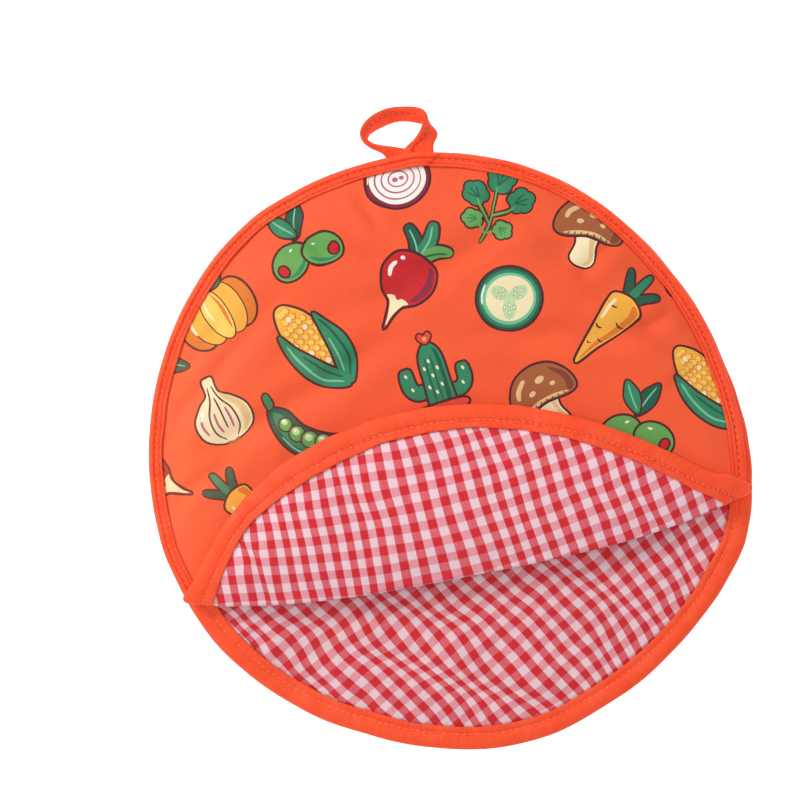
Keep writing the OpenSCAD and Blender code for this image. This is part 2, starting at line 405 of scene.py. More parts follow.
def flat_mesh(edge, spacing, outlines=(), rows=None, hold=1.0, seed=1):
    """Triangulated flat disc: edge(phi) - hold is its rim, outlines are closed
    loops of points that become edges, rows are extra points."""
    n = int(TAU * 150 / spacing)
    phi = np.linspace(0, TAU, n, endpoint=False)
    rr = edge(phi) - hold
    ring = np.c_[rr * np.cos(phi), rr * np.sin(phi)]
    rng = np.random.default_rng(seed)
    g = np.arange(-160, 160, spacing)
    gx, gy = np.meshgrid(g, np.arange(-160, 160, spacing * 0.866))
    gx = gx + (np.arange(gx.shape[0]) % 2)[:, None] * spacing / 2
    pts = np.c_[gx.ravel(), gy.ravel()]
    pts += rng.uniform(-0.06, 0.06, pts.shape) * spacing
    if rows is not None:
        yc = np.interp(pts[:, 0], _uu, _yc)
        s = yc - pts[:, 1]
        pts = pts[(s < -1.6) | (s > 8.6)]
        pts = np.r_[pts, rows]
    inside = np.hypot(pts[:, 0], pts[:, 1]) \
        < edge(np.arctan2(pts[:, 1], pts[:, 0])) - hold - 0.45 * spacing
    pts = pts[inside]
    verts = [Vector(p) for p in ring.tolist()]
    edges = [(i, (i + 1) % n) for i in range(n)]
    verts += [Vector(p) for p in pts.tolist()]
    for poly in outlines:
        n0 = len(verts)
        verts += [Vector(p) for p in np.asarray(poly, float).tolist()]
        m = len(poly)
        edges += [(n0 + i, n0 + (i + 1) % m) for i in range(m)]
    v, _, f, *_ = delaunay_2d_cdt(verts, edges, [], 0, 2e-4)
    v = np.array([tuple(p) for p in v])
    f = np.array(f, int)
    a = v[f[:, 1]] - v[f[:, 0]]
    b = v[f[:, 2]] - v[f[:, 0]]
    area = (a[:, 0] * b[:, 1] - a[:, 1] * b[:, 0]) / 2
    c = v[f].mean(1)
    ok = np.hypot(c[:, 0], c[:, 1]) \
        < edge(np.arctan2(c[:, 1], c[:, 0])) - hold - 0.01
    f = f[(area > 1e-6) & ok]
    used = np.unique(f)
    new = np.full(len(v), -1)
    new[used] = np.arange(len(used))
    return v[used], new[f]


def fold_rows(step_u=1.7, step_s=0.38):
    """Extra points that follow the fold, so that its roll is round."""
    out = []
    for i, s in enumerate(np.arange(-1.0, 8.2, step_s)):
        u = np.arange(-154, 154, step_u) + (i % 2) * step_u / 2
        out.append(np.c_[u, np.interp(u, _uu, _yc) - s])
    return np.concatenate(out)


def strip_mesh(rings, closed=True):
    """Faces that join successive rings of points, each a closed loop."""
    n, m = rings.shape[:2]
    i = np.arange(n if closed else n - 1)
    j = np.arange(m)
    a = (i[:, None] * m + j[None]).ravel()
    b = (i[:, None] * m + (j[None] + 1) % m).ravel()
    k = (i + 1) % n
    c = (k[:, None] * m + (j[None] + 1) % m).ravel()
    d = (k[:, None] * m + j[None]).ravel()
    return rings.reshape(-1, 3), np.c_[a, b, c, d]


def bound_ring(edge, at, leg_top, leg_under, seed, half=2.0, n=1300,
               puff=1.0, flat_under=False, grooves=(), overlap=None):
    """Binding tape folded over a disc's edge. at(u, v, h) maps the disc, h > 0
    is the lining side, where the leg is leg_top wide. grooves: list of
    (side, distance from the edge, depth, width, start angle, end angle);
    overlap: (start, end in degrees, height, side)."""
    phi = np.linspace(0, TAU, n, endpoint=False)
    R = edge(phi)
    wide_top = leg_top(phi) if callable(leg_top) else leg_top + 0 * phi
    leg_top = float(wide_top.max())
    lt = wide_top + 0.35 * ring_noise(phi, 60, seed)
    lu = leg_under + 0.35 * ring_noise(phi, 60, seed + 1)
    # outer skin from the lining leg's inner edge round to the other leg,
    # then the inner skin back: (fraction of leg, height)
    prof = np.array([(0.985, 0.68), (1.0, 0.82), (0.994, 0.93), (0.95, 0.99), (0.88, 1.0),
                     (0.80, 0.94), (0.745, 0.83), (0.71, 0.755), (0.68, 0.735), (0.65, 0.76),
                     (0.60, 0.90), (0.53, 1.05), (0.44, 1.14), (0.34, 1.14), (0.25, 1.06),
                     (0.16, 0.90), (0.08, 0.67), (0.03, 0.39)])
    fine = ring_noise(phi, 420, seed + 2)
    mid = ring_noise(phi, 150, seed + 3)
    slow = ring_noise(phi, 34, seed + 4)
    deg = np.degrees(phi)
    thick = half(phi) if callable(half) else half + 0 * phi

    def leg(side, L, length):
        pr = prof.copy()
        if side < 0 and flat_under:
            pr[(pr[:, 0] > 0.56) & (pr[:, 0] < 0.98), 1] = 1.04
        mine = [g for g in grooves if g[0] == side]
        f = list(pr[:, 0])
        for g in mine:
            f = [x for x in f if abs(x * length - g[1]) > 0.95 or x > 0.98]
            f += [(g[1] + e) / length for e in (-1.15, -0.72, -0.42, -0.2, 0.0, 0.2, 0.42, 0.72, 1.15)
                  if (g[1] + e) / length < 0.97]
        inner = pr[pr[:, 0] >= 0.98]
        body = pr[::-1]
        body = body[body[:, 0] < 0.994]
        f = sorted(set(round(x, 4) for x in f if x < 0.98), reverse=True)
        out = [(x, h) for x, h in inner] + [(x, float(np.interp(x, body[:, 0], body[:, 1]))) for x in f]
        res = []
        for x, h in out:
            pinch = math.exp(-((x - 0.70) / 0.17) ** 2) if not (side < 0 and flat_under) else 0.35
            roll = -9 if side < 0 else 0
            hh = thick * h + puff * (thick / 2) ** 4 * (pinch * (0.20 * np.roll(fine, roll) + 0.15 * np.roll(mid, roll // 2))
                                    + 0.09 * np.roll(mid, roll) + 0.12 * slow * (0.2 < x < 0.75))
            d = L * x
            seam = [99.0 + 0 * d, 99.0 + 0 * d]
            for i, (_, gd, depth, wide, a0, a1) in enumerate(mine):
                on = ((phi - a0) % TAU) < ((a1 - a0) % TAU)
                at_line = gd * (wide_top / leg_top if side > 0 else 1) \
                    + 0.22 * (i + 0.3) * ring_noise(phi, 64, seed + 8 + i)
                w = (np.exp(-((d - at_line) / wide) ** 2) + 0.22 * np.exp(-((d - at_line) / (2.2 * wide)) ** 2)) * on
                hh = hh - depth * w * (0.85 + 0.13 * np.cos(phi * 150 / 3.5 * TAU) + 0.14 * mid)
                seam[i] = np.where(on, d - at_line, 99.0)
            if overlap is not None and side == overlap[3]:
                # the tape's end laps over its start on a slant
                a0, a1, tall, _ = overlap
                slant = 3.2 * (x - 0.5)
                hh = hh + tall * sstep(a0 - 0.25 + slant, a0 + 0.25 + slant, deg) \
                    * sstep(a1 + 2.5, a1 - 2.5, deg)
            res.append((d, side * hh, side, seam))
        return res

    none = [99.0 + 0 * phi, 99.0 + 0 * phi]
    cols = leg(1, lt, leg_top)
    cols.append((0.02 + 0 * phi, 0.02 * slow, 0, none))
    cols += leg(-1, lu, leg_under)[::-1]
    for f, h in ((0.97, -0.56), (0.6, -0.46), (0.14, -0.46), (0.1, 0.0),
                 (0.14, 0.46), (0.6, 0.46), (0.97, 0.56)):
        L = lt if h > 0 else lu
        cols.append((L * f + (0.4 if h == 0 else 0), thick * h, 0, none))
    rings = np.zeros((n, len(cols), 3))
    seams = np.zeros((n, len(cols), 3))
    # the tape's edge wavers and its crown leans a little
    lean = 0.25 * ring_noise(phi, 90, seed + 5)
    for j, (d, h, side, seam) in enumerate(cols):
        r = R - d + lean * (1 - np.abs(d / leg_top - 0.5)) * 0.5
        rings[:, j] = at(r * np.cos(phi), r * np.sin(phi), h)
        seams[:, j, 0], seams[:, j, 1] = seam
        # the seam attribute's third part sets how strong the tape's painted groove shade is: strongest on the right,
        # away from the light
        seams[:, j, 2] = 0.5 + 0.5 * np.cos(phi - 0.15)
    v, f = strip_mesh(rings)
    dist = np.stack([c[0] for c in cols], 1)
    coord = np.stack([np.broadcast_to((phi * 150)[:, None], dist.shape), dist,
                      np.broadcast_to([c[2] for c in cols], dist.shape)], -1)
    return v, f, coord.reshape(-1, 3), seams.reshape(-1, 3)


def stitch_mesh(name, flat_xy, at, pitch=3.5, gap=0.62, radius=0.27, lift=0.12,
                dive=0.34, sides=6, wobble=0.12, seed=3, tilt=0.0, ends=None,
                sign=1):
    """Lock stitches along a path. flat_xy(s) gives flat points and the inward
    direction, at(u, v, h) maps them, s runs over ends."""
    rng = np.random.default_rng(seed)
    s0, s1 = ends
    count = int((s1 - s0) / pitch)
    start = s0 + np.arange(count) * pitch + rng.uniform(-0.1, 0.1, count)
    rows = 7
    t = np.linspace(0, 1, rows)
    off = rng.uniform(-wobble, wobble, count)
    s = start[:, None] + gap / 2 + (pitch - gap) * t[None] \
        * (1 + rng.uniform(-0.04, 0.04, count))[:, None]
    xy, inward = flat_xy(s)
    side = off[:, None] + tilt * (t[None] - 0.5)
    xy = xy + inward * side[..., None]
    base = lift(xy[..., 0], xy[..., 1]) if callable(lift) else lift
    h = base - dive * (np.abs(2 * t - 1) ** 3)[None] * np.ones((count, 1))
    mid = at(xy[..., 0], xy[..., 1], sign * h)
    up = at(xy[..., 0], xy[..., 1], sign * (h + 0.4)) - mid
    up /= np.maximum(np.linalg.norm(up, axis=-1, keepdims=True), 1e-9)
    tan = np.gradient(mid, axis=1)
    tan /= np.maximum(np.linalg.norm(tan, axis=-1, keepdims=True), 1e-9)
    bi = np.cross(tan, up)
    bi /= np.maximum(np.linalg.norm(bi, axis=-1, keepdims=True), 1e-9)
    up = np.cross(bi, tan)
    fat = radius * np.sqrt(np.maximum(1 - np.abs(2 * t - 1) ** 4, 0.12))
    ang = np.arange(sides) / sides * TAU
    ring = (mid[:, :, None]
            + bi[:, :, None] * (np.cos(ang) * 1.15)[None, None, :, None] * fat[None, :, None, None]
            + up[:, :, None] * (np.sin(ang) * 0.85)[None, None, :, None] * fat[None, :, None, None])
    verts = ring.reshape(-1, 3)
    faces = []
    base = np.arange(count) * rows * sides
    for r in range(rows - 1):
        for q in range(sides):
            a = r * sides + q
            b = r * sides + (q + 1) % sides
            faces.append(np.c_[base + a, base + b, base + b + sides, base + a + sides])
    caps = []
    for q in range(1, sides - 1):
        if q % 2 == 0:
            continue
        caps.append(np.c_[base, base + min(q + 2, sides - 1), base + q + 1, base + q])
        e = (rows - 1) * sides
        caps.append(np.c_[base + e, base + e + q, base + e + q + 1,
                          base + e + min(q + 2, sides - 1)])
    faces = np.concatenate(faces + caps)
    o = make_mesh(name, verts, faces)
    coord = np.stack([np.broadcast_to(s[:, :, None], (count, rows, sides)),
                      np.broadcast_to(ang[None, None], (count, rows, sides)),
                      np.broadcast_to(np.arange(count)[:, None, None], (count, rows, sides))], -1)
    add_vec(o, "along", coord.reshape(-1, 3))
    return o


# --------------------------------------------------------------------------
# materials
# --------------------------------------------------------------------------
class Nodes:
    """Short-hand for building a node tree."""

    def __init__(self, name, **bsdf):
        self.mat = bpy.data.materials.new(name)
        self.mat.use_nodes = True
        self.t = self.mat.node_tree
        self.b = self.t.nodes["Principled BSDF"]
        for k, v in bsdf.items():
            self.b.inputs[k.replace("_", " ")].default_value = v

    def node(self, kind, **props):
        n = self.t.nodes.new(kind)
        for k, v in props.items():
            setattr(n, k, v)
        return n

    def link(self, a, b):
        self.t.links.new(a, b)

    def set(self, socket, value):
        if isinstance(value, bpy.types.NodeSocket):
            self.link(value, socket)
        else:
            socket.default_value = value

    def math(self, op, a, b=0.0, c=None, clamp=False):
        n = self.node("ShaderNodeMath", operation=op, use_clamp=clamp)
        self.set(n.inputs[0], a)
        self.set(n.inputs[1], b)
        if c is not None:
            self.set(n.inputs[2], c)
        return n.outputs[0]

    def attr(self, name):
        return self.node("ShaderNodeAttribute", attribute_name=name)

    def xyz(self, vector):
        n = self.node("ShaderNodeSeparateXYZ")
        self.link(vector, n.inputs[0])
        return n.outputs

    def combine(self, x, y, z=0.0):
        n = self.node("ShaderNodeCombineXYZ")
        for s, v in zip(n.inputs, (x, y, z)):
            self.set(s, v)
        return n.outputs[0]

    def mix(self, fac, a, b):
        n = self.node("ShaderNodeMix", data_type="RGBA")
        self.set(n.inputs[0], fac)
        self.set(n.inputs[6], a)
        self.set(n.inputs[7], b)
        return n.outputs[2]

    def noise(self, vector, scale, detail=2.0, rough=0.5):
        n = self.node("ShaderNodeTexNoise")
        self.link(vector, n.inputs["Vector"])
        n.inputs["Scale"].default_value = scale
        n.inputs["Detail"].default_value = detail
        n.inputs["Roughness"].default_value = rough
        return n.outputs["Fac"]

    def range(self, v, a, b, c, d):
        n = self.node("ShaderNodeMapRange")
        n.inputs[1].default_value, n.inputs[2].default_value = a, b
        n.inputs[3].default_value, n.inputs[4].default_value = c, d
        self.link(v, n.inputs[0])
        return n.outputs[0]

    def bump(self, height, distance, strength=1.0, normal=None):
        n = self.node("ShaderNodeBump")
        n.inputs["Strength"].default_value = strength
        n.inputs["Distance"].default_value = distance
        self.link(height, n.inputs["Height"])
        if normal is not None:
            self.link(normal, n.inputs["Normal"])
        return n.outputs[0]


INKS = {
    "ground": (252, 92, 50), "dark": (78, 30, 36), "dark2": (150, 150, 96),
    "red": (206, 34, 40), "red2": (236, 72, 58), "green": (48, 136, 96),
    "green2": (26, 92, 70), "mint": (120, 196, 156), "mint2": (196, 224, 168),
    "leaf": (104, 168, 84), "cream": (250, 232, 186), "cream2": (236, 198, 140),
    "gold": (250, 178, 66), "gold2": (228, 122, 40), "gold3": (252, 206, 96),
    "white": (250, 244, 234), "plum": (140, 36, 66), "plum2": (190, 98, 132),
    "brown": (172, 96, 56), "brown2": (134, 66, 44),
}
INK_ID = {k: i for i, k in enumerate(INKS)}


def mat_print():
    m = Nodes("printed_twill", Roughness=0.52)
    m.b.inputs["Sheen Weight"].default_value = 0.16
    m.b.inputs["Sheen Roughness"].default_value = 0.45
    m.b.inputs["Specular IOR Level"].default_value = 0.22
    flat = m.attr("flat").outputs["Vector"]
    x, y, _ = m.xyz(flat)
    ink = m.attr("ink").outputs["Fac"]
    ramp = m.node("ShaderNodeValToRGB")
    ramp.color_ramp.interpolation = "CONSTANT"
    n = len(INKS)
    els = ramp.color_ramp.elements
    els[0].position, els[1].position = 0.0, 1.0
    for i in range(1, n - 1):
        els.new((i - 0.5) / n)
    els[n - 1].position = (n - 1.5) / n
    for i, c in enumerate(INKS.values()):
        els[i].color = lin(c)
    m.link(m.math("DIVIDE", ink, float(n)), ramp.inputs[0])
    col = ramp.outputs[0]
    # twill: ribs run diagonally across the cloth
    d = m.math("ADD", m.math("MULTIPLY", x, 0.78), m.math("MULTIPLY", y, 0.62))
    wob = m.noise(flat, 0.06, 2)
    rib = m.math("SINE", m.math("MULTIPLY", m.math("ADD", d, wob), TAU / 0.95))
    rib = m.math("MULTIPLY_ADD", rib, 0.5, 0.5)
    along = m.math("SUBTRACT", m.math("MULTIPLY", x, 0.62), m.math("MULTIPLY", y, 0.78))
    cross = m.math("SINE", m.math("MULTIPLY", along, TAU / 0.8))
    yarn = m.math("MULTIPLY_ADD", cross, 0.18, m.math("MULTIPLY", rib, 0.82))
    cloud = m.noise(flat, 0.035, 3)
    fleck = m.noise(flat, 2.6, 1)
    shade = m.math("ADD", m.range(yarn, 0, 1, 0.79, 1.06), m.range(cloud, 0.3, 0.7, -0.04, 0.04))
    shade = m.math("ADD", shade, m.range(fleck, 0.2, 0.8, -0.04, 0.04))
    lip = m.attr("lip").outputs["Fac"]
    # painted shade: the print turns darker and redder along the tape's inner edge, where the tape shades it
    painted_shade_tint = m.node("ShaderNodeCombineXYZ")
    for i, low_ in enumerate((0.74, 0.50, 0.46)):
        m.link(m.range(lip, -0.1, 1.2, low_, 1.0), painted_shade_tint.inputs[i])
    g0 = m.node("ShaderNodeVectorMath", operation="MULTIPLY")
    m.link(col, g0.inputs[0])
    m.link(painted_shade_tint.outputs[0], g0.inputs[1])
    g = m.node("ShaderNodeVectorMath", operation="SCALE")
    m.link(g0.outputs[0], g.inputs[0])
    m.link(shade, g.inputs["Scale"])
    # print is a little paler on the ribs' tops; painted sheen makes it paler towards the left, the side that the light
    # comes from
    worn = m.math("MULTIPLY", m.range(yarn, 0.75, 1.0, 0, 0.07), 1.0)
    ox, oy, _ = m.xyz(m.node("ShaderNodeTexCoord").outputs["Object"])
    side = m.math("MULTIPLY", m.range(ox, -0.150, -0.045, 0.12, 0.0),
                  m.range(m.math("ABSOLUTE", m.math("SUBTRACT", oy, 0.045)), 0.02, 0.11, 1.0, 0.25))
    painted_sheen_col = m.mix(side, g.outputs[0], lin((255, 160, 100)))
    m.link(m.mix(worn, painted_sheen_col, lin((255, 170, 140))), m.b.inputs["Base Color"])
    m.link(m.range(cloud, 0.3, 0.7, 0.55, 0.68), m.b.inputs["Roughness"])
    crumple = m.noise(flat, 0.10, 4, 0.55)
    b1 = m.bump(crumple, 0.0011, 0.55)
    m.link(m.bump(yarn, 0.00018, 0.6, b1), m.b.inputs["Normal"])
    return m.mat


CHECK = 8.75       # period of the check in millimetres


def mat_gingham():
    m = Nodes("gingham_cotton", Roughness=0.86)
    m.b.inputs["Sheen Weight"].default_value = 0.05
    m.b.inputs["Sheen Roughness"].default_value = 0.6
    m.b.inputs["Specular IOR Level"].default_value = 0.15
    check = m.attr("check").outputs["Vector"]
    p, q, _ = m.xyz(check)
    slub = m.noise(m.combine(m.math("MULTIPLY", p, 0.9), m.math("MULTIPLY", q, 0.08)), 1.0, 2)
    slub2 = m.noise(m.combine(m.math("MULTIPLY", p, 0.08), m.math("MULTIPLY", q, 0.9)), 1.0, 2)
    fray = 0.16

    def stripe(c, wav):
        t = m.math("ADD", m.math("DIVIDE", c, CHECK), m.range(wav, 0.2, 0.8, -0.018, 0.018))
        f = m.math("FRACT", m.math("ADD", t, 100.0))
        tri = m.math("ABSOLUTE", m.math("SUBTRACT", f, 0.5))      # 0 mid, .5 edge
        return m.math("LESS_THAN", tri, 0.252)

    warp = stripe(p, slub2)
    weft = stripe(q, slub)
    th = 0.44                                                      # thread pitch
    i = m.math("FLOOR", m.math("DIVIDE", m.math("ADD", p, 500.0), th))
    j = m.math("FLOOR", m.math("DIVIDE", m.math("ADD", q, 500.0), th))
    over = m.math("MODULO", m.math("ADD", i, j), 2.0)
    top = m.math("ADD", m.math("MULTIPLY", warp, over),
                 m.math("MULTIPLY", weft, m.math("SUBTRACT", 1.0, over)))
    soft = m.math("ADD", m.math("MULTIPLY", warp, 0.72), m.math("MULTIPLY", weft, 0.28))
    redness = m.math("ADD", m.math("MULTIPLY", top, 0.30), m.math("MULTIPLY", soft, 0.70))
    redness = m.math("ADD", redness, m.math("MULTIPLY", m.range(slub, 0.3, 0.7, -0.05, 0.05), 1.0), clamp=True)
    ramp = m.node("ShaderNodeValToRGB")
    els = ramp.color_ramp.elements
    els[0].position, els[0].color = 0.0, lin((239, 205, 212))
    els[1].position, els[1].color = 1.0, lin((213, 43, 52))
    for at_, c_ in ((0.18, (238, 178, 188)), (0.36, (231, 150, 161)), (0.64, (222, 85, 96)), (0.84, (218, 64, 74))):
        els.new(at_).color = lin(c_)
    m.link(redness, ramp.inputs[0])
    # thread relief
    rp = m.math("ABSOLUTE", m.math("SINE", m.math("MULTIPLY", p, math.pi / th)))
    rq = m.math("ABSOLUTE", m.math("SINE", m.math("MULTIPLY", q, math.pi / th)))
    thread = m.math("ADD", m.math("MULTIPLY", rp, over), m.math("MULTIPLY", rq, m.math("SUBTRACT", 1.0, over)))
    cloud = m.noise(check, 0.03, 3)
    fleck = m.noise(check, 1.7, 2)
    shade = m.math("ADD", m.range(thread, 0, 1, 0.88, 1.04), m.range(cloud, 0.3, 0.7, -0.03, 0.03))
    shade = m.math("ADD", shade, m.range(fleck, 0.25, 0.75, -0.05, 0.05))
    # painted shade darkens the lining where it runs under the tape
    lip = m.attr("lip").outputs["Fac"]
    shade = m.math("MULTIPLY", shade, m.range(lip, -0.2, 1.5, 0.66, 1.0))
    g = m.node("ShaderNodeVectorMath", operation="SCALE")
    m.link(ramp.outputs[0], g.inputs[0])
    m.link(shade, g.inputs["Scale"])
    # painted shade: low in the pouch, under the flap, the lining is a little darker and redder
    oz = m.xyz(m.node("ShaderNodeTexCoord").outputs["Object"])[2]
    painted_shade_tint = m.node("ShaderNodeCombineXYZ")
    for i, low_ in enumerate((0.92, 0.92, 0.90)):
        m.link(m.range(oz, 0.0055, 0.0125, low_, 1.0), painted_shade_tint.inputs[i])
    g0 = m.node("ShaderNodeVectorMath", operation="MULTIPLY")
    m.link(g.outputs[0], g0.inputs[0])
    m.link(painted_shade_tint.outputs[0], g0.inputs[1])
    m.link(g0.outputs[0], m.b.inputs["Base Color"])
    crumple = m.noise(check, 0.13, 4, 0.6)
    b1 = m.bump(crumple, 0.0014, 0.6)
    b2 = m.bump(slub, 0.0002, 0.35, b1)
    m.link(m.bump(thread, 0.00010, 0.45, b2), m.b.inputs["Normal"])
    return m.mat


def mat_tape():
    m = Nodes("orange_tape", Roughness=0.55)
    m.b.inputs["Sheen Weight"].default_value = 0.10
    m.b.inputs["Sheen Roughness"].default_value = 0.4
    m.b.inputs["Sheen Tint"].default_value = lin((255, 150, 110))
    m.b.inputs["Specular IOR Level"].default_value = 0.22
    co = m.attr("tape").outputs["Vector"]
    s, d, k = m.xyz(co)
    # bias weave: threads cross the tape at 45 degrees
    a = m.math("ADD", s, d)
    b = m.math("SUBTRACT", s, d)
    ta = m.math("ABSOLUTE", m.math("SINE", m.math("MULTIPLY", a, math.pi / 0.42)))
    tb = m.math("ABSOLUTE", m.math("SINE", m.math("MULTIPLY", b, math.pi / 0.42)))
    weave = m.math("MULTIPLY", m.math("ADD", ta, tb), 0.5)
    plane = m.combine(s, d)
    cloud = m.noise(plane, 0.06, 3)
    streak = m.noise(m.combine(m.math("MULTIPLY", s, 0.55), m.math("MULTIPLY", d, 0.12)), 1.0, 3)
    fleck = m.noise(plane, 2.2, 2)
    ramp = m.node("ShaderNodeValToRGB")
    els = ramp.color_ramp.elements
    els[0].position, els[0].color = 0.25, lin((246, 66, 28))
    els[1].position, els[1].color = 0.78, lin((252, 96, 54))
    v = m.math("ADD", m.math("MULTIPLY", cloud, 0.55), m.math("MULTIPLY", streak, 0.45))
    m.link(v, ramp.inputs[0])
    shade = m.math("ADD", m.range(weave, 0, 1, 0.93, 1.03), m.range(fleck, 0.2, 0.8, -0.04, 0.04))
    # seams pull the tape down; painted shade darkens the grooves and a needle hole at each stitch, more on the right,
    # away from the light
    seam, line, painted_shade_side = m.xyz(m.attr("seam").outputs["Vector"])
    patchy = m.noise(m.combine(m.math("MULTIPLY", s, 0.05), 0.0), 1.0, 2)
    deep = m.math("MULTIPLY", m.range(m.math("ABSOLUTE", seam), 0.10, 0.85, 1, 0), m.range(patchy, 0.35, 0.65, 0.45, 0.75))
    needle_hole_shade = m.math("ABSOLUTE", m.math("SUBTRACT", m.math("FRACT", m.math("DIVIDE", m.math("ADD", s, 1000.0), 3.5)), 0.5))
    needle_hole_shade = m.math("MULTIPLY", m.range(needle_hole_shade, 0.0, 0.14, 1, 0), m.range(m.math("ABSOLUTE", seam), 0.15, 0.55, 0.45, 0))
    slim_groove_shade = m.math("MULTIPLY", m.range(m.math("ABSOLUTE", line), 0.05, 0.55, 1, 0), m.range(patchy, 0.3, 0.7, 0.36, 0.10))
    dark = m.math("ADD", m.math("ADD", deep, needle_hole_shade), slim_groove_shade, clamp=True)
    dark = m.math("MULTIPLY", dark, m.range(painted_shade_side, 0.15, 0.9, 0.12, 1.0))
    g = m.node("ShaderNodeVectorMath", operation="SCALE")
    m.link(ramp.outputs[0], g.inputs[0])
    m.link(shade, g.inputs["Scale"])
    m.link(m.mix(dark, g.outputs[0], lin((222, 40, 20))), m.b.inputs["Base Color"])
    m.link(m.range(streak, 0.3, 0.7, 0.48, 0.66), m.b.inputs["Roughness"])
    b1 = m.bump(streak, 0.0006, 0.6)
    m.link(m.bump(weave, 0.00010, 0.5, b1), m.b.inputs["Normal"])
    return m.mat


def mat_thread(name="sewing_thread", low=(250, 88, 50), high=(255, 150, 108), mean=(255, 114, 74)):
    m = Nodes(name, Roughness=0.42)
    m.b.inputs["Sheen Weight"].default_value = 0.02
    m.b.inputs["Specular IOR Level"].default_value = 0.25
    s, a, k = m.xyz(m.attr("along").outputs["Vector"])
    twist = m.math("SINE", m.math("ADD", m.math("MULTIPLY", s, TAU / 0.45), m.math("MULTIPLY", a, 2.0)))
    ply = m.math("MULTIPLY_ADD", twist, 0.5, 0.5)
    var = m.noise(m.combine(m.math("MULTIPLY", k, 0.7), 0.0), 1.0, 1)
    col = m.mix(ply, lin(low), lin(high))
    col = m.mix(m.range(var, 0.3, 0.7, 0, 0.5), col, lin(mean))
    m.link(col, m.b.inputs["Base Color"])
    m.link(m.bump(ply, 0.00012, 0.6), m.b.inputs["Normal"])
    return m.mat


def mat_wadding():
    m = Nodes("wadding", Roughness=0.95)
    flat = m.attr("flat").outputs["Vector"]
    n1 = m.noise(flat, 0.5, 5, 0.7)
    m.link(m.mix(m.range(n1, 0.3, 0.7, 0, 1), lin((205, 204, 198)), lin((240, 240, 236))), m.b.inputs["Base Color"])
    m.link(m.bump(n1, 0.0008, 0.8), m.b.inputs["Normal"])
    return m.mat


def mat_film():
    m = Nodes("heat_film", Roughness=0.25, Metallic=1.0)
    flat = m.attr("flat").outputs["Vector"]
    n1 = m.noise(flat, 0.35, 4, 0.6)
    m.link(m.mix(n1, lin((190, 194, 200)), lin((226, 228, 232))), m.b.inputs["Base Color"])
    m.link(m.bump(n1, 0.0008, 0.9), m.b.inputs["Normal"])
    return m.mat


M_PRINT, M_GING, M_TAPE, M_THREAD = mat_print(), mat_gingham(), mat_tape(), mat_thread()
# a darker copy of the thread: painted shade for the stitches that sink into the ditch's groove
M_THREAD_PAINTED_SHADE = mat_thread("sunk_thread_painted_shade", (196, 40, 24), (236, 84, 56), (214, 56, 34))
M_WAD, M_FILM = mat_wadding(), mat_film()

# --------------------------------------------------------------------------
# print: flat drawings of food plants, in millimetres
# --------------------------------------------------------------------------


def resample(poly, step=0.8, closed=True):
    poly = np.asarray(poly, float)
    q = np.r_[poly, poly[:1]] if closed else poly
    seg = np.linalg.norm(np.diff(q, axis=0), axis=1)
    cum = np.r_[0, np.cumsum(seg)]
    n = max(6 if closed else 3, int(round(cum[-1] / step)))
    s = np.linspace(0, cum[-1], n, endpoint=not closed)
    return np.c_[np.interp(s, cum, q[:, 0]), np.interp(s, cum, q[:, 1])]


def curve(pts, closed=True, n=8):
    """Smooth curve through the points."""
    p = np.asarray(pts, float)
    if not closed:
        p = np.r_[[2 * p[0] - p[1]], p, [2 * p[-1] - p[-2]]]
    m = len(p)
    t = (np.arange(n) / n)[:, None]
    out = []
    for i in (range(m) if closed else range(1, m - 2)):
        a, b, c, d = p[(i - 1) % m], p[i], p[(i + 1) % m], p[(i + 2) % m]
        out.append(0.5 * (2 * b + (c - a) * t + (2 * a - 5 * b + 4 * c - d) * t ** 2
                          + (3 * b - a - 3 * c + d) * t ** 3))
    if not closed:
        out.append(p[-2:-1])
    return np.concatenate(out)


def blob(*pts):
    return resample(curve(pts))


def oval(cx, cy, rx, ry, rot=0.0, step=0.8):
    n = max(8, int(TAU * math.sqrt((rx * rx + ry * ry) / 2) / step))
    a = np.arange(n) / n * TAU
    c, s = math.cos(math.radians(rot)), math.sin(math.radians(rot))
    x, y = rx * np.cos(a), ry * np.sin(a)
    return np.c_[cx + c * x - s * y, cy + s * x + c * y]


def grow(poly, d):
    q = resample(poly, 0.7)
    e = np.roll(q, -1, 0) - np.roll(q, 1, 0)
    e /= np.maximum(np.linalg.norm(e, axis=1, keepdims=True), 1e-9)
    a = np.sum(q[:, 0] * np.roll(q[:, 1], -1) - q[:, 1] * np.roll(q[:, 0], -1))
    return q + np.c_[e[:, 1], -e[:, 0]] * d * (1 if a > 0 else -1)


def stroke(pts, w0, w1=None, taper=0.35, smooth=True):
    """A brush stroke, w0 thick at its middle, thinner at its ends."""
    c = resample(curve(pts, closed=False) if smooth else np.asarray(pts, float), 0.8, closed=False)
    e = np.gradient(c, axis=0)
    e /= np.maximum(np.linalg.norm(e, axis=1, keepdims=True), 1e-9)
    n = np.c_[-e[:, 1], e[:, 0]]
    s = np.linspace(0, 1, len(c))
    w1 = w0 if w1 is None else w1
    w = (w0 + (w1 - w0) * s) / 2 * (taper + (1 - taper) * np.sqrt(np.maximum(1 - (2 * s - 1) ** 4, 0)))
    return np.r_[c + n * w[:, None], (c - n * w[:, None])[::-1]]


LINE = 1.15


def outlined(ink, *shapes, line=LINE):
    return [("dark", grow(s, line)) for s in shapes] + [(ink, s) for s in shapes]


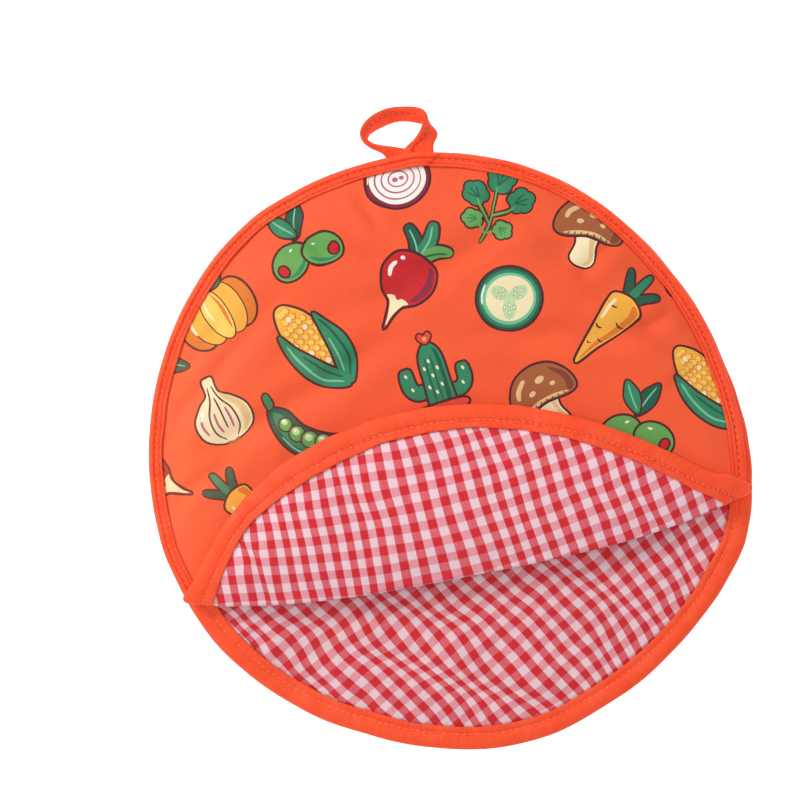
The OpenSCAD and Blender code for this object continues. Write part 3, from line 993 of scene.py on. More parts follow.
def leaf(x, y, length, width, rot, ink="green", vein="mint"):
    c, s = math.cos(math.radians(rot)), math.sin(math.radians(rot))
    base = [(0, 0), (0.25, 0.38), (0.55, 0.5), (0.82, 0.28), (1, 0),
            (0.82, -0.3), (0.55, -0.48), (0.25, -0.36)]
    q = np.array([(a * length, b * width) for a, b in base])
    q = np.c_[x + c * q[:, 0] - s * q[:, 1], y + s * q[:, 0] + c * q[:, 1]]
    v = np.array([(0.08 * length, 0), (0.5 * length, 0.04 * width), (0.88 * length, 0)])
    v = np.c_[x + c * v[:, 0] - s * v[:, 1], y + s * v[:, 0] + c * v[:, 1]]
    return outlined(ink, resample(curve(q)), line=0.95) + [(vein, stroke(v, 0.8))]


def m_carrot():
    body = blob((-7, 12), (-7.6, 7), (-5.8, -3), (-3.2, -14), (-0.4, -24),
                (2.6, -14), (5.6, -3), (7.4, 7), (7, 12), (0, 14.5))
    d = []
    for pts in ([(0, 12), (-4, 18), (-9, 25)], [(0, 12), (0, 20), (1, 29)], [(1, 12), (5, 18), (10, 23)]):
        d.append(("dark", stroke(pts, 6.4, 4.6)))
    for pts, ink in (([(0, 12), (-4, 18), (-8.7, 24.4)], "green2"), ([(0, 12), (0, 20), (0.9, 28)], "green"),
                     ([(1, 12), (5, 18), (9.5, 22.4)], "green2")):
        d.append((ink, stroke(pts, 4.4, 2.8)))
    d += outlined("gold", body)
    d.append(("gold2", blob((3.2, 12.4), (6.6, 11.4), (6.9, 7), (5, -3), (2.2, -13), (-0.2, -22.5),
                            (0.6, -12), (2.6, -1), (4, 7))))
    for x0, x1, y in ((-6.4, -2, 6.5), (1.5, 6, 1.5), (-5, -1.6, -4), (0.4, 3.4, -9), (-2.6, -0.4, -13)):
        d.append(("dark", stroke([(x0, y), ((x0 + x1) / 2, y - 0.8), (x1, y)], 0.8)))
    d.append(("cream", blob((-5.4, 9.6), (-5.9, 5), (-4.9, -1.5), (-4.1, 0), (-4.4, 5), (-4.2, 9))))
    return d


def m_corn():
    d = []
    left = blob((-1, -25), (-9, -18), (-13, -6), (-12.5, 6), (-9, 15), (-7, 4), (-3, -8), (1, -18))
    right = blob((1, -25), (9, -18), (13.5, -7), (12, 5), (10, 12), (7, 3), (3.4, -8), (-1, -18))
    cob = blob((-7.8, -8), (-8.8, 4), (-7.4, 15), (-3.4, 22.5), (0, 24.4), (3.4, 22.5), (7.4, 15), (8.8, 4),
               (7.8, -8), (0, -15))
    d += outlined("gold", cob)
    for j, y in enumerate(np.arange(-9, 23, 3.75)):
        for i in range(-2, 3):
            x = i * 3.45 * (1 - 0.011 * max(0, y - 4) ** 1.35)
            if abs(i) == 2 and (y > 15 or y < -10):
                continue
            if y > 20 and abs(i) > 1:
                continue
            d.append(("gold2", oval(x + 0.25, y - 0.2, 1.66, 1.72, 0, 0.9)))
            d.append(("cream" if (i * 3 + j * 5) % 7 == 0 else "gold3", oval(x, y, 1.3, 1.36, 0, 0.8)))
    d += outlined("green", left, right)
    d.append(("mint", stroke([(-2, -22), (-8.5, -13), (-10.4, 0), (-9.6, 9)], 1.1)))
    d.append(("green2", stroke([(-1, -20), (-5, -10), (-7.6, 0)], 1.1)))
    d.append(("green2", stroke([(2, -22), (8.5, -13), (10.6, 0), (10, 8)], 1.3)))
    d.append(("mint", stroke([(1.5, -18), (5, -10), (7.2, -2)], 0.9)))
    return d


def m_radish():
    d = []
    for pts, w in (([(0, 8), (-5, 15), (-12, 20)], 8.6), ([(0, 8), (1, 18), (-1, 27)], 9.4), ([(0, 8), (6, 15), (13, 18)], 8.2)):
        d.append(("dark", stroke(pts, w, w * 0.75)))
    for pts, w, ink in (([(0, 8), (-5, 15), (-11.4, 19.5)], 6.2, "green2"), ([(0, 8), (1, 18), (-1, 26)], 7, "green"),
                        ([(0, 8), (6, 15), (12.4, 17.6)], 5.9, "leaf")):
        d.append((ink, stroke(pts, w, w * 0.7)))
    d.append(("mint", stroke([(0.2, 11), (0.8, 18), (-0.8, 24)], 0.9)))
    d.append(("mint", stroke([(-1, 10), (-5, 14.5), (-9.5, 18)], 0.8)))
    d.append(("green2", stroke([(1, 10), (6, 14), (10.6, 16.4)], 0.8)))
    body = blob((-4, 9.5), (-10.4, 6), (-12.4, -2), (-9, -10), (-3, -15), (-0.8, -22), (0.4, -27), (1.4, -21),
                (3.4, -15), (9, -10), (12.4, -2), (10.4, 6), (4, 9.5))
    d += outlined("red", body)
    d.append(("cream", blob((-5.6, -12.4), (-3, -14.4), (-0.8, -20), (0.4, -25.5), (1.2, -20), (3.4, -14.4), (5.6, -12.4),
                            (2, -11.4), (0, -12.8), (-2.4, -11.2))))
    d.append(("plum", blob((6, 7.6), (9.8, 5), (11.6, -2), (8.4, -9.2), (5.4, -11), (7.6, -5), (8, 1))))
    d.append(("white", stroke([(-8.4, 3.4), (-9.4, -0.6), (-8.2, -4.8)], 1.9)))
    d.append(("white", oval(-6.6, 6, 1.1, 0.9, 20)))
    return d


def m_cucumber():
    d = [("dark", oval(0, 0, 17.2, 16.4)), ("green2", oval(0, 0, 16, 15.2)), ("green", oval(0, 0, 14.9, 14.1)),
         ("mint", oval(0, 0, 13.4, 12.6)), ("cream", oval(0.2, 0.1, 11.9, 11.1))]
    for k in range(3):
        a = k * 120 + 20
        c, s = math.cos(math.radians(a)), math.sin(math.radians(a))
        d.append(("mint2", oval(5.2 * c, 5 * s, 5.1, 3.4, a)))
    for k in range(3):
        for off, rr in ((-26, 5.4), (0, 7.4), (26, 5.4), (0, 3.6)):
            a = math.radians(k * 120 + 20 + off)
            d.append(("dark2", oval(rr * math.cos(a), rr * 0.96 * math.sin(a), 1.45, 0.72, math.degrees(a))))
            d.append(("white", oval(rr * math.cos(a), rr * 0.96 * math.sin(a), 1.02, 0.42, math.degrees(a))))
    d.append(("white", stroke([(-10.4, 9), (-13, 4.2), (-13.8, -0.6)], 0.9)))
    return d


def m_mushroom():
    stem = blob((-5, 0), (-4.4, -8), (-6, -15), (-3, -18), (3, -18), (6.2, -15), (4.6, -8), (5, 0))
    cap = blob((-17, -2), (-16, 6), (-10, 13.5), (0, 16.4), (10, 13.5), (16, 6), (17, -2), (12, -4.4), (0, -3), (-12, -4.4))
    d = outlined("cream", stem)
    d.append(("cream2", blob((1.4, -2), (4, -2), (3.8, -8), (5.2, -14.6), (2.6, -17), (0.4, -17), (2.8, -13), (1.8, -8))))
    d += outlined("brown", cap)
    d.append(("cream2", blob((-12.4, -3.4), (-6, -1.4), (0, -0.9), (6, -1.4), (12.4, -3.4), (8, -3.4), (0, -2.4), (-8, -3.4))))
    for x in (-9, -6, -3, 0, 3, 6, 9):
        d.append(("dark", stroke([(x * 1.02, -1.6 - 0.012 * x * x), (x * 1.12, -3.3 - 0.006 * x * x)], 0.7, smooth=False)))
    d.append(("brown2", blob((8, 12.6), (14.6, 6.4), (16, -1.6), (12, -3.2), (12.6, 3), (10, 8.6))))
    d.append(("cream2", blob((-11.8, 8.4), (-7, 12), (-5.4, 11), (-9.6, 7.2), (-11.6, 3.6), (-13.2, 4.4))))
    d.append(("cream2", oval(1.5, 8.4, 2.6, 1.7, 10)))
    d.append(("cream2", oval(6.6, 3.8, 1.5, 1.1, -10)))
    d.append(("cream2", oval(-5, 3.6, 1.9, 1.3, 15)))
    return d


def m_pumpkin():
    d = outlined("green2", blob((-2.4, 11), (-3, 16), (-6.4, 20), (-3.4, 21.4), (0.8, 18.6), (2.8, 14), (3, 11)))
    outer = [oval(-11.4, -1, 8.2, 12.2, 6), oval(11.4, -1, 8.2, 12.2, -6)]
    mid = [oval(-6, -0.6, 7.6, 13.2, 3), oval(6, -0.6, 7.6, 13.2, -3)]
    d += outlined("gold2", *outer)
    d += [("dark", grow(q, 0.6)) for q in mid]
    d += [("gold", q) for q in mid]
    core = oval(0, -0.6, 5.6, 13.4)
    d += [("dark", grow(core, 0.6)), ("gold3", core)]
    d.append(("gold2", blob((2.2, 10), (4.2, 4), (4.6, -3), (2.6, -11), (2.8, -3), (2.9, 4))))
    d.append(("cream", stroke([(-10.6, 7), (-13.6, 1.6), (-13.4, -4)], 1.5)))
    d.append(("cream", stroke([(-2.2, 8), (-3.2, 2), (-2.6, -3)], 1.1)))
    d.append(("mint", stroke([(-1.2, 12.4), (-1.6, 15.6), (-4, 19)], 0.8)))
    d += leaf(2, 12, 11, 7, 22, "green")
    return d


def m_pea():
    pod = blob((-22, 6), (-16, -3), (-6, -9), (6, -9.6), (16, -5), (22, 4), (17, 5.4), (8, 3), (-4, 3.2), (-14, 7.4))
    d = outlined("green2", pod)
    d.append(("green", blob((-19.6, 5), (-15, -1), (-6, -6.4), (6, -7), (15, -3), (19.6, 3.6), (14, 2.4), (6, 0), (-5, 0.2), (-14, 4.6))))
    for i, x in enumerate((-12, -6, 0.2, 6.4, 12.2)):
        y = -1.6 + 0.020 * x * x
        r = (2.7, 3.3, 3.6, 3.3, 2.7)[i]
        d += [("dark", oval(x, y, r + 0.7, r + 0.7)), ("leaf", oval(x, y, r, r)), ("mint2", oval(x - 0.7, y + 0.8, r * 0.55, r * 0.5)),
              ("white", oval(x - 1.1, y + 1.2, 0.75, 0.55, 30))]
    d += outlined("green", blob((-22, 6), (-26, 10), (-25, 12.4), (-21, 9)), line=0.9)
    d.append(("mint", stroke([(-12, -4.4), (-4, -8), (6, -8.2), (13, -5)], 0.9)))
    return d


def m_olives():
    d = leaf(-2, 4, 19, 8, 62, "green2") + leaf(-1, 5, 17, 7.4, 118, "green")
    for x, y, rot in ((-8, -5, 28), (8.4, -6, -18)):
        o = oval(x, y, 9.6, 7.6, rot)
        d += outlined("leaf", o)
        c, s = math.cos(math.radians(rot)), math.sin(math.radians(rot))
        sg = 1 if x > 0 else -1
        d.append(("green", blob(*[(x + c * a - s * b, y + s * a + c * b) for a, b in
                                  ((-7.6, -3), (-3, -6.4), (3, -6.4), (7.6, -3.2), (3, -4.6), (-3, -4.6))])))
        d.append(("dark", oval(x + sg * 5.6 * c, y + sg * 5.6 * s, 2.9, 3.5, rot)))
        d.append(("red", oval(x + sg * 5.6 * c, y + sg * 5.6 * s, 2.0, 2.6, rot)))
        d.append(("white", stroke([(x - sg * 5 * c - 2.4 * s, y - sg * 5 * s + 3.4), (x - sg * 1.5 * c, y + 4.7)], 1.2)))
    return d


def m_garlic():
    body = blob((-2.6, 18), (-3, 10), (-8, 6), (-13.6, -1), (-13, -9), (-7, -14), (0, -15.4), (7, -14), (13, -9),
                (13.6, -1), (8, 6), (3, 10), (2.8, 18), (0, 19))
    d = outlined("cream", body)
    d.append(("cream2", blob((3, 9.6), (8, 5.4), (12.8, -1), (12.2, -8.4), (6.6, -13), (9.2, -7), (8.6, 0), (4.4, 6))))
    for pts in ([(-1, 14), (-2.4, 7), (-6.2, 0), (-6.6, -8), (-3, -13.6)], [(1, 14), (2.4, 7), (6, 0), (6.4, -8), (3, -13.6)],
                [(0, 8), (0.2, 0), (0, -8)]):
        d.append(("dark", stroke(pts, 0.9)))
    for pts in ([(-9.8, 1.8), (-11.2, -3), (-10, -8)], [(-3.4, 1), (-3.8, -5), (-2.8, -9.4)], [(3, 2), (3.4, -4), (3, -8.6)]):
        d.append(("plum2", stroke(pts, 1.2)))
    d.append(("brown", stroke([(-3.6, -15), (0, -16.4), (3.6, -15)], 1.7)))
    d.append(("white", stroke([(-7.6, 3.6), (-10.8, -0.6)], 1.3)))
    return d


def m_marigold():
    d = leaf(2, -4, 22, 8.6, -58, "green2") + leaf(-2, -4, 22, 8.6, -125, "green")

    def frill(r, n, depth, turn):
        a = np.linspace(0, TAU, n * 14, endpoint=False)
        rr = r * (1 + depth * np.abs(np.cos(a * n / 2 + turn)) - depth)
        return resample(np.c_[rr * np.cos(a), rr * np.sin(a) + 2], 0.7)

    for r, n, ink, turn in ((16.6, 12, "gold2", 0), (12.6, 11, "gold", 0.6), (8.8, 9, "gold2", 1.1), (5.4, 7, "gold3", 0.2)):
        q = frill(r, n, 0.17, turn)
        d += [("dark", grow(q, 0.95 if r > 15 else 0.5)), (ink, q)]
    d.append(("red", oval(0, 2, 2.0, 1.9)))
    return d


def m_cactus():
    body = blob((-5.2, -16), (-5.8, 0), (-5, 12), (0, 17.6), (5, 12), (5.8, 0), (5.2, -16))
    arm1 = stroke([(-4, -4), (-10, -4.2), (-13, -0.5), (-13.2, 8)], 6.6, 6.2, 0.55)
    arm2 = stroke([(4, -7), (10, -7), (13, -3.4), (13.2, 4)], 6.2, 5.8, 0.55)
    pot = blob((-8.4, -13.4), (-8, -17), (-6.6, -25), (6.6, -25), (8, -17), (8.4, -13.4))
    d = [("dark", grow(arm1, LINE)), ("dark", grow(arm2, LINE)), ("green", arm1), ("green", arm2)]
    d += outlined("green", body)
    d.append(("green2", blob((2, 14.6), (4.2, 11.4), (4.8, 0), (4.4, -14), (2.4, -14), (3, 0), (2.6, 10))))
    for x in (-2.6, 0.4):
        d.append(("green2", stroke([(x, 11), (x - 0.2, 0), (x, -11)], 0.8)))
    for x, y in ((-4, 6), (-1.2, 9), (-1, 2), (-4, -3), (-1.2, -6), (2, 5), (2, -3), (-13.4, 5), (-12, -2), (13.4, 1.6), (11.6, -5)):
        d.append(("cream", oval(x, y, 0.62, 1.05, 15, 0.6)))
    d += outlined("red2", pot, blob((-9.6, -12), (-9.4, -15.6), (9.4, -15.6), (9.6, -12)))
    d.append(("red", blob((3.4, -17), (7.2, -17), (6, -24), (3, -24))))
    d.append(("cream", stroke([(-6.4, -20), (-3.2, -18.8), (0, -20.2), (3.2, -18.8), (6.4, -20)], 1.1)))
    d += outlined("red2", blob((0, 17), (-3.2, 20), (-2, 22.4), (0, 21), (2, 22.4), (3.2, 20)), line=0.85)
    d.append(("gold", oval(0, 19.4, 1.1, 1.0)))
    return d


def m_sprig():
    d = []
    for pts in ([(0, -20), (1, -8), (0, 4), (-1, 14)], [(0.6, -9), (-6, -3), (-10, 2)], [(0.6, -5), (7, 0), (11, 6)]):
        d.append(("dark", stroke(pts, 3.1, 2.7)))
    for x, y, r, rot in ((-1, 15, 8.4, 90), (-11, 3, 6.8, 150), (12, 7.6, 7.2, 40), (-8, -9.4, 5.2, 200), (8.6, -9.6, 5.4, -20)):
        a = np.linspace(0, TAU, 72, endpoint=False)
        lobes = r * (0.80 + 0.20 * np.abs(np.cos(2.5 * a)) ** 0.7)
        c, s = math.cos(math.radians(rot)), math.sin(math.radians(rot))
        q = np.c_[lobes * np.cos(a), lobes * 0.88 * np.sin(a)]
        q = resample(np.c_[x + c * q[:, 0] - s * q[:, 1], y + s * q[:, 0] + c * q[:, 1]], 0.7)
        d += outlined("green" if r > 6 else "leaf", q, line=0.95)
        for turn in (-50, 0, 50):
            a2 = math.radians(rot + turn)
            d.append(("green2" if r > 6 else "green", stroke([(x - 0.5 * r * math.cos(math.radians(rot)), y - 0.5 * r * math.sin(math.radians(rot))),
                                       (x + 0.55 * r * math.cos(a2), y + 0.55 * r * math.sin(a2))], 0.75, smooth=False)))
    for pts in ([(0, -19.4), (1, -8), (0, 4), (-1, 10)], [(0.6, -9), (-6, -3), (-9, 1)], [(0.6, -5), (7, 0), (10, 4)], [(0.2, -14), (-5, -10)], [(0.3, -14), (6, -10.4)]):
        d.append(("leaf", stroke(pts, 1.25, 0.9)))
    return d


def m_onion():
    d = [("dark", oval(0, 0, 17.4, 15.8)), ("plum", oval(0, 0, 16.2, 14.6)), ("white", oval(0, 0, 14.6, 13)),
         ("plum2", oval(0, 0, 12.2, 10.7)), ("white", oval(0.2, 0, 11.4, 9.9)), ("plum2", oval(0.2, 0, 8.8, 7.5)),
         ("white", oval(0.3, 0.1, 8.0, 6.7)), ("plum2", oval(0.4, 0.1, 5.4, 4.4)), ("white", oval(0.4, 0.1, 4.6, 3.6)),
         ("plum2", oval(-1.2, 0.1, 1.5, 1.3)), ("plum2", oval(2.2, 0.1, 1.3, 1.1))]
    d.append(("cream", stroke([(-9, 11.6), (-13, 7.4), (-15.2, 2)], 0.9)))
    return d


MOTIFS = {"carrot": m_carrot, "corn": m_corn, "radish": m_radish, "cucumber": m_cucumber, "mushroom": m_mushroom,
          "pumpkin": m_pumpkin, "pea": m_pea, "olives": m_olives, "garlic": m_garlic, "marigold": m_marigold,
          "cactus": m_cactus, "sprig": m_sprig, "onion": m_onion}


def inside(poly, pts):
    """Which points lie in a closed outline, by winding number."""
    x, y = pts[:, 0][:, None], pts[:, 1][:, None]
    ax, ay = poly[:, 0][None], poly[:, 1][None]
    bx, by = np.roll(poly[:, 0], -1)[None], np.roll(poly[:, 1], -1)[None]
    left = (bx - ax) * (y - ay) - (x - ax) * (by - ay)
    up = (ay <= y) & (by > y) & (left > 0)
    down = (ay > y) & (by <= y) & (left < 0)
    return (up.sum(1) - down.sum(1)) != 0


def printed_disc(edge, layout, spacing, rows=None):
    """Flat printed cloth: points, triangles and each triangle's ink."""
    art = []
    for name, x, y, rot, size in layout:
        c, s = math.cos(math.radians(rot)), math.sin(math.radians(rot))
        for ink, q in MOTIFS[name]():
            q = q * size
            q = np.c_[x + c * q[:, 0] - s * q[:, 1], y + s * q[:, 0] + c * q[:, 1]]
            if np.hypot(q[:, 0], q[:, 1]).min() < 156:
                art.append((ink, q))
    v, f = flat_mesh(edge, spacing, [q for _, q in art], rows)
    c = v[f].mean(1)
    ink = np.zeros(len(f))
    order = np.argsort(c[:, 0])
    cx = c[order, 0]
    for name, q in art:
        lo, hi = q.min(0), q.max(0)
        sel = order[np.searchsorted(cx, lo[0]):np.searchsorted(cx, hi[0])]
        sel = sel[(c[sel, 1] > lo[1]) & (c[sel, 1] < hi[1])]
        if len(sel):
            sel = sel[inside(q, c[sel])]
            ink[sel] = INK_ID[name]
    return v, f, ink


# name, x, y, turn in degrees, size
FRONT_LAYOUT = [
    ("onion", 2, 141, 8, 1.0), ("olives", -52, 117, 16, 1.05), ("sprig", 47, 118, -32, 1.0),
    ("mushroom", 92, 97, -24, 1.02), ("pumpkin", -101, 92, 24, 1.05), ("radish", -1, 92, -38, 1.12),
    ("corn", -55, 66, 34, 1.08), ("cucumber", 46, 71, 0, 1.02), ("carrot", 93.9, 49.2, -52, 1.12),
    ("garlic", -108, 42, 14, 1.0), ("cactus", 2, 38, 6, 1.08), ("pumpkin", 144, 61.6, -30, 0.95),
    ("marigold", -143, 76, 40, 0.95), ("pea", -66, 22, -28, 1.1), ("mushroom", 54.1, 19.2, 18, 1.0),
    ("corn", 136, 8, 28, 1.02), ("radish", -154.4, 17.8, 60, 1.05), ("olives", 98, -4, -20, 1.05),
    ("carrot", -101.7, -9.8, 40, 1.0), ("onion", -20, -12, 0, 1.0), ("sprig", 29.3, -19.5, 30, 1.0),
    ("garlic", -62, -29, 20, 1.0), ("marigold", 60.7, -43.5, 0, 1.0), ("cucumber", 100, -55, 0, 1.0),
    ("mushroom", -98.1, -48.7, -20, 1.0), ("corn", 0.5, -59.7, 80, 1.05), ("carrot", -46.5, -84.3, -60, 1.05),
    ("pea", 40, -88, 14, 1.05), ("cactus", 86, -98, -14, 1.0), ("radish", -95.7, -97.3, 20, 1.0),
    ("pumpkin", -2.1, -109.5, 0, 1.0), ("onion", -52, -128, 0, 0.95), ("olives", 46, -132, 10, 1.0),
    ("sprig", 0.1, -148.5, 60, 0.9),
]
BACK_LAYOUT = [
    ("onion", 6.1, -145.8, 138, 1.0), ("olives", 57.7, -131.1, 146, 1.05),
    ("sprig", -37.1, -123.5, 98, 1.0), ("mushroom", -80.3, -103.1, 106, 1.02),
    ("pumpkin", 105, -98.2, 154, 1.05), ("radish", 8.7, -98.3, 92, 1.12), ("corn", 57.2, -79.4, 164, 1.08),
    ("cucumber", -36.2, -77.9, 130, 1.02), ("carrot", -81.3, -54.7, 78, 1.12),
    ("garlic", 111.5, -52.7, 144, 1.0), ("cactus", 6.1, -45.9, 136, 1.08),
    ("pumpkin", -127.3, -68, 100, 0.95), ("marigold", 145.3, -82.7, 170, 0.95),
    ("pea", 75.5, -19.9, 102, 1.1), ("mushroom", -47.2, -30.7, 148, 1.0),
    ("corn", -127.4, -18.3, 158, 1.02), ("radish", 146.6, -25, 190, 1.05),
    ("olives", -82.5, -4.3, 110, 1.05), ("carrot", 114.9, -2.8, 170, 1.0), ("onion", 27.2, 2.6, 130, 1.0),
    ("sprig", -20.8, 10.4, 160, 1.0), ("garlic", 73.2, 26.8, 150, 1.0), ("marigold", -58.5, 32.8, 130, 1.0),
    ("cucumber", -105.3, 41.4, 130, 1.0), ("mushroom", 116.1, 43.9, 110, 1.0),
    ("corn", 11.2, 46.8, 210, 1.05), ("carrot", 55.3, 70.5, 70, 1.05), ("pea", -28.7, 77.5, 144, 1.05),
    ("cactus", -81.1, 80.6, 116, 1.0), ("radish", 99.2, 82.6, 150, 1.0), ("pumpkin", 6.4, 95.8, 130, 1.0),
    ("onion", 57.9, 115.2, 130, 0.95), ("olives", -38.2, 118.3, 140, 1.0), ("sprig", 19.2, 135.1, 190, 0.9),
    ("carrot", -21.1, 144.9, 70, 1.0), ("cucumber", 146.7, 24.1, 0, 1.0),
]


# --------------------------------------------------------------------------
# pieces
# --------------------------------------------------------------------------
def layer(name, v, f, at, lower, upper, mat, phase=None, ink=None, lip=None):
    """A cloth layer as a closed solid between two heights over the disc."""
    n = len(v)
    u, w = v[:, 0], v[:, 1]
    top, bot = at(u, w, upper(u, w)), at(u, w, lower(u, w))
    e = np.sort(np.r_[f[:, [0, 1]], f[:, [1, 2]], f[:, [2, 0]]], 1)
    key = e[:, 0].astype(np.int64) * n + e[:, 1]
    uniq, first, cnt = np.unique(key, return_index=True, return_counts=True)
    half = np.r_[f[:, [0, 1]], f[:, [1, 2]], f[:, [2, 0]]]
    rim = half[first[cnt == 1]]
    faces = np.r_[f, f[:, ::-1] + n,
                  np.c_[rim[:, 0], rim[:, 0] + n, rim[:, 1] + n],
                  np.c_[rim[:, 0], rim[:, 1] + n, rim[:, 1]]]
    o = make_mesh(name, np.r_[top, bot], faces)
    add_vec(o, "flat", np.r_[v, v])
    if phase is not None:
        q = phase(u, w)
        add_vec(o, "check", np.r_[q, q])
    if lip is not None:
        q = o.data.attributes.new("lip", "FLOAT", "POINT")
        q.data.foreach_set("value", np.tile(np.clip(lip(u, w), -4, 6), 2).astype(np.float32))
    if ink is not None:
        per = np.zeros(len(o.data.polygons), np.float32)
        per[:len(f)] = ink
        per[len(f):2 * len(f)] = ink
        at_ = o.data.attributes.new("ink", "FLOAT", "CORNER")
        at_.data.foreach_set("value", np.repeat(per, 3))
    o.data.materials.append(mat)
    return o


def flip_check(o):
    """Turns a closed mesh right side out."""
    me = o.data
    co = np.zeros(len(me.vertices) * 3)
    me.vertices.foreach_get("co", co)
    co = co.reshape(-1, 3)
    me.calc_loop_triangles()
    tri = np.zeros(len(me.loop_triangles) * 3, np.int32)
    me.loop_triangles.foreach_get("vertices", tri)
    q = co[tri.reshape(-1, 3)]
    vol = np.einsum("ij,ij->i", q[:, 0], np.cross(q[:, 1], q[:, 2])).sum()
    if vol < 0:
        me.flip_normals()
    return o


def dress(o, mat):
    o.data.materials.append(mat)
    return flip_check(o)


FACE_T, FILM_T = 0.5, 0.2


# ---- front disc
def flap_xy(u, v):
    """Where a point of the front disc lies when seen from above the flap."""
    s, r, _ = fold_facts(u, v)
    X = u + np.interp(u, _uu, _dx) * sstep(0, 1, s / (math.pi * r))
    Y = np.interp(u, _uu, _yc) + (s - math.pi * r) * np.interp(u, _uu, _k)
    return X, Y


_px = np.linspace(-160, 160, 321)
_pg = np.cumsum(0.985 + 0.17 * sstep(-5, -62, _px)) - 160     # checks narrower to the left
_qs = np.cumsum(np.interp(_px, [-95, 96], [-0.14, 0.25]))     # rows that rise to the right
_qs -= _qs[160]


def front_phase(u, v):
    X, Y = flap_xy(u, v)
    Y = np.maximum(Y, -95)
    dx, dy, _ = gather(X, Y, FLAP_CREASES)
    X, Y = X + dx, Y + dy
    p = np.interp(X, _px, _pg) + (-0.02 + 0.20 * sstep(-52, 22, X)) * (Y + 12) \
        + 1.7 * noise(X / 44, Y / 40, 61) + 0.5 * noise(X / 19, Y / 21, 62)
    q = 0.97 * Y - np.interp(X, _px, _qs) \
        + 1.2 * noise(X / 46 + 9, Y / 50, 63) + 0.5 * noise(X / 21, Y / 18, 64)
    phi, d = np.arctan2(v, u), edge_dist(u, v)
    pull = np.exp(-(d / 17.0) ** 2)
    p = p + pull * 0.8 * ring_noise(phi, 88, 65)
    q = q + pull * 0.8 * ring_noise(phi, 80, 66)
    return np.c_[p, q]


def front_lining_rise(u, v):
    """Small swells and puckers of the flap's lining."""
    d = edge_dist(u, v)
    phi = np.arctan2(v, u)
    s = fold_facts(u, v)[0]
    free = sstep(11, 24, d) * sstep(-2, 26, s)
    X, Y = flap_xy(u, v)
    lines = gather(X, Y, FLAP_CREASES)[2] * sstep(9, 17, d) * sstep(6.5, 16, s)
    swell = 0.34 * noise(u / 26 + 5, v / 18, 71) + 0.16 * noise(u / 11, v / 13, 72)
    pucker = 0.26 * ring_noise(phi, 120, 73) * np.exp(-((d - 13) / 5.5) ** 2) * sstep(-30, 6, s) \
        * sstep(-1, 1, d - lining_leg(phi))
    return free * swell + pucker + lines


def front_top(u, v):
    return pad_half(u, v, lining_leg(np.arctan2(v, u))) + front_lining_rise(u, v)


def front_print_rise(u, v):
    d = edge_dist(u, v)
    phi = np.arctan2(v, u)
    near = fold_facts(u, v)[2]
    pucker = 0.26 * ring_noise(phi, 130, 75) * np.exp(-((d - 10) / 4.5) ** 2) * sstep(LEG_OUTER - 0.8, LEG_OUTER + 1, d)
    return (pucker - 0.12 * np.exp(-((d - 8.9) / 1.4) ** 2)) * (1 - near)


def front_bottom(u, v):
    return pad_half(u, v) + front_print_rise(u, v)


def bend(o):
    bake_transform(o)
    return o


rows = fold_rows()
pv, pf, pink = printed_disc(front_edge, FRONT_LAYOUT, 1.75, rows)
front_outer = layer("front_outer_cloth", pv, pf, front_at,
                    lambda u, v: -front_bottom(u, v), lambda u, v: -front_bottom(u, v) + FACE_T,
                    M_PRINT, ink=pink, lip=lambda u, v: edge_dist(u, v) - LEG_OUTER)
lv, lf = flat_mesh(front_edge, 1.75, rows=rows, seed=2)
front_lining = layer("front_lining_cloth", lv, lf, front_at,
                     lambda u, v: front_top(u, v) - FACE_T, front_top,
                     M_GING, phase=front_phase, lip=lambda u, v: edge_dist(u, v) - lining_leg(np.arctan2(v, u)))
mv, mf = flat_mesh(front_edge, 2.6, rows=fold_rows(2.6, 0.55), hold=1.6, seed=3)


def slit(v, f, *heights):
    """Leaves out the hidden layers' faces across the hinge's height, so that
    they don't stretch through the cloth when the flap closes."""
    z = np.array([front_at(v[:, 0], v[:, 1], h(v[:, 0], v[:, 1]))[:, 2] for h in heights])
    below = (z < HINGE_Z - 0.5).all(0)[f].all(1)
    above = (z > HINGE_Z + 0.5).all(0)[f].all(1)
    f = f[below | above]
    used, new = np.unique(f, return_inverse=True)
    return v[used], new.reshape(-1, 3)


mv, mf = slit(mv, mf, lambda u, v: -front_bottom(u, v) + FACE_T + 0.02,
          lambda u, v: front_top(u, v) - FACE_T - 0.02)
front_film = layer("front_film_sheet", mv, mf, front_at,
                   lambda u, v: front_top(u, v) - FACE_T - 0.02 - FILM_T,
                   lambda u, v: front_top(u, v) - FACE_T - 0.02,
                   M_FILM)
front_wadding = layer("front_wadding_pad", mv, mf, front_at,
                      lambda u, v: -front_bottom(u, v) + FACE_T + 0.02,
                      lambda u, v: front_top(u, v) - FACE_T - FILM_T - 0.04,
                      M_WAD)
for o in (front_outer, front_lining, front_film, front_wadding):
    flip_check(o)

SEAM_A, SEAM_B = math.radians(-16.5), math.radians(197)
# the grooves also feed the seam attribute, along which the tape's material paints shade
v_, f_, c_, g_ = bound_ring(front_edge, front_at, lining_leg, LEG_OUTER, 31, half=ring_half, flat_under=True,
                            grooves=[(-1, 3.5, 0.98, 0.62, SEAM_A, SEAM_B), (-1, 6.0, 0.42, 0.42, 0.0, TAU - 1e-6),
                                     (1, LEG_LINING * STITCH_AT, 0.08, 0.5, 0.0, TAU - 1e-6)],
                            overlap=(81.5, 91.0, 0.85, -1))
front_binding = make_mesh("front_binding_tape", v_, f_)
add_vec(front_binding, "tape", c_)
add_vec(front_binding, "seam", g_)
dress(front_binding, M_TAPE)


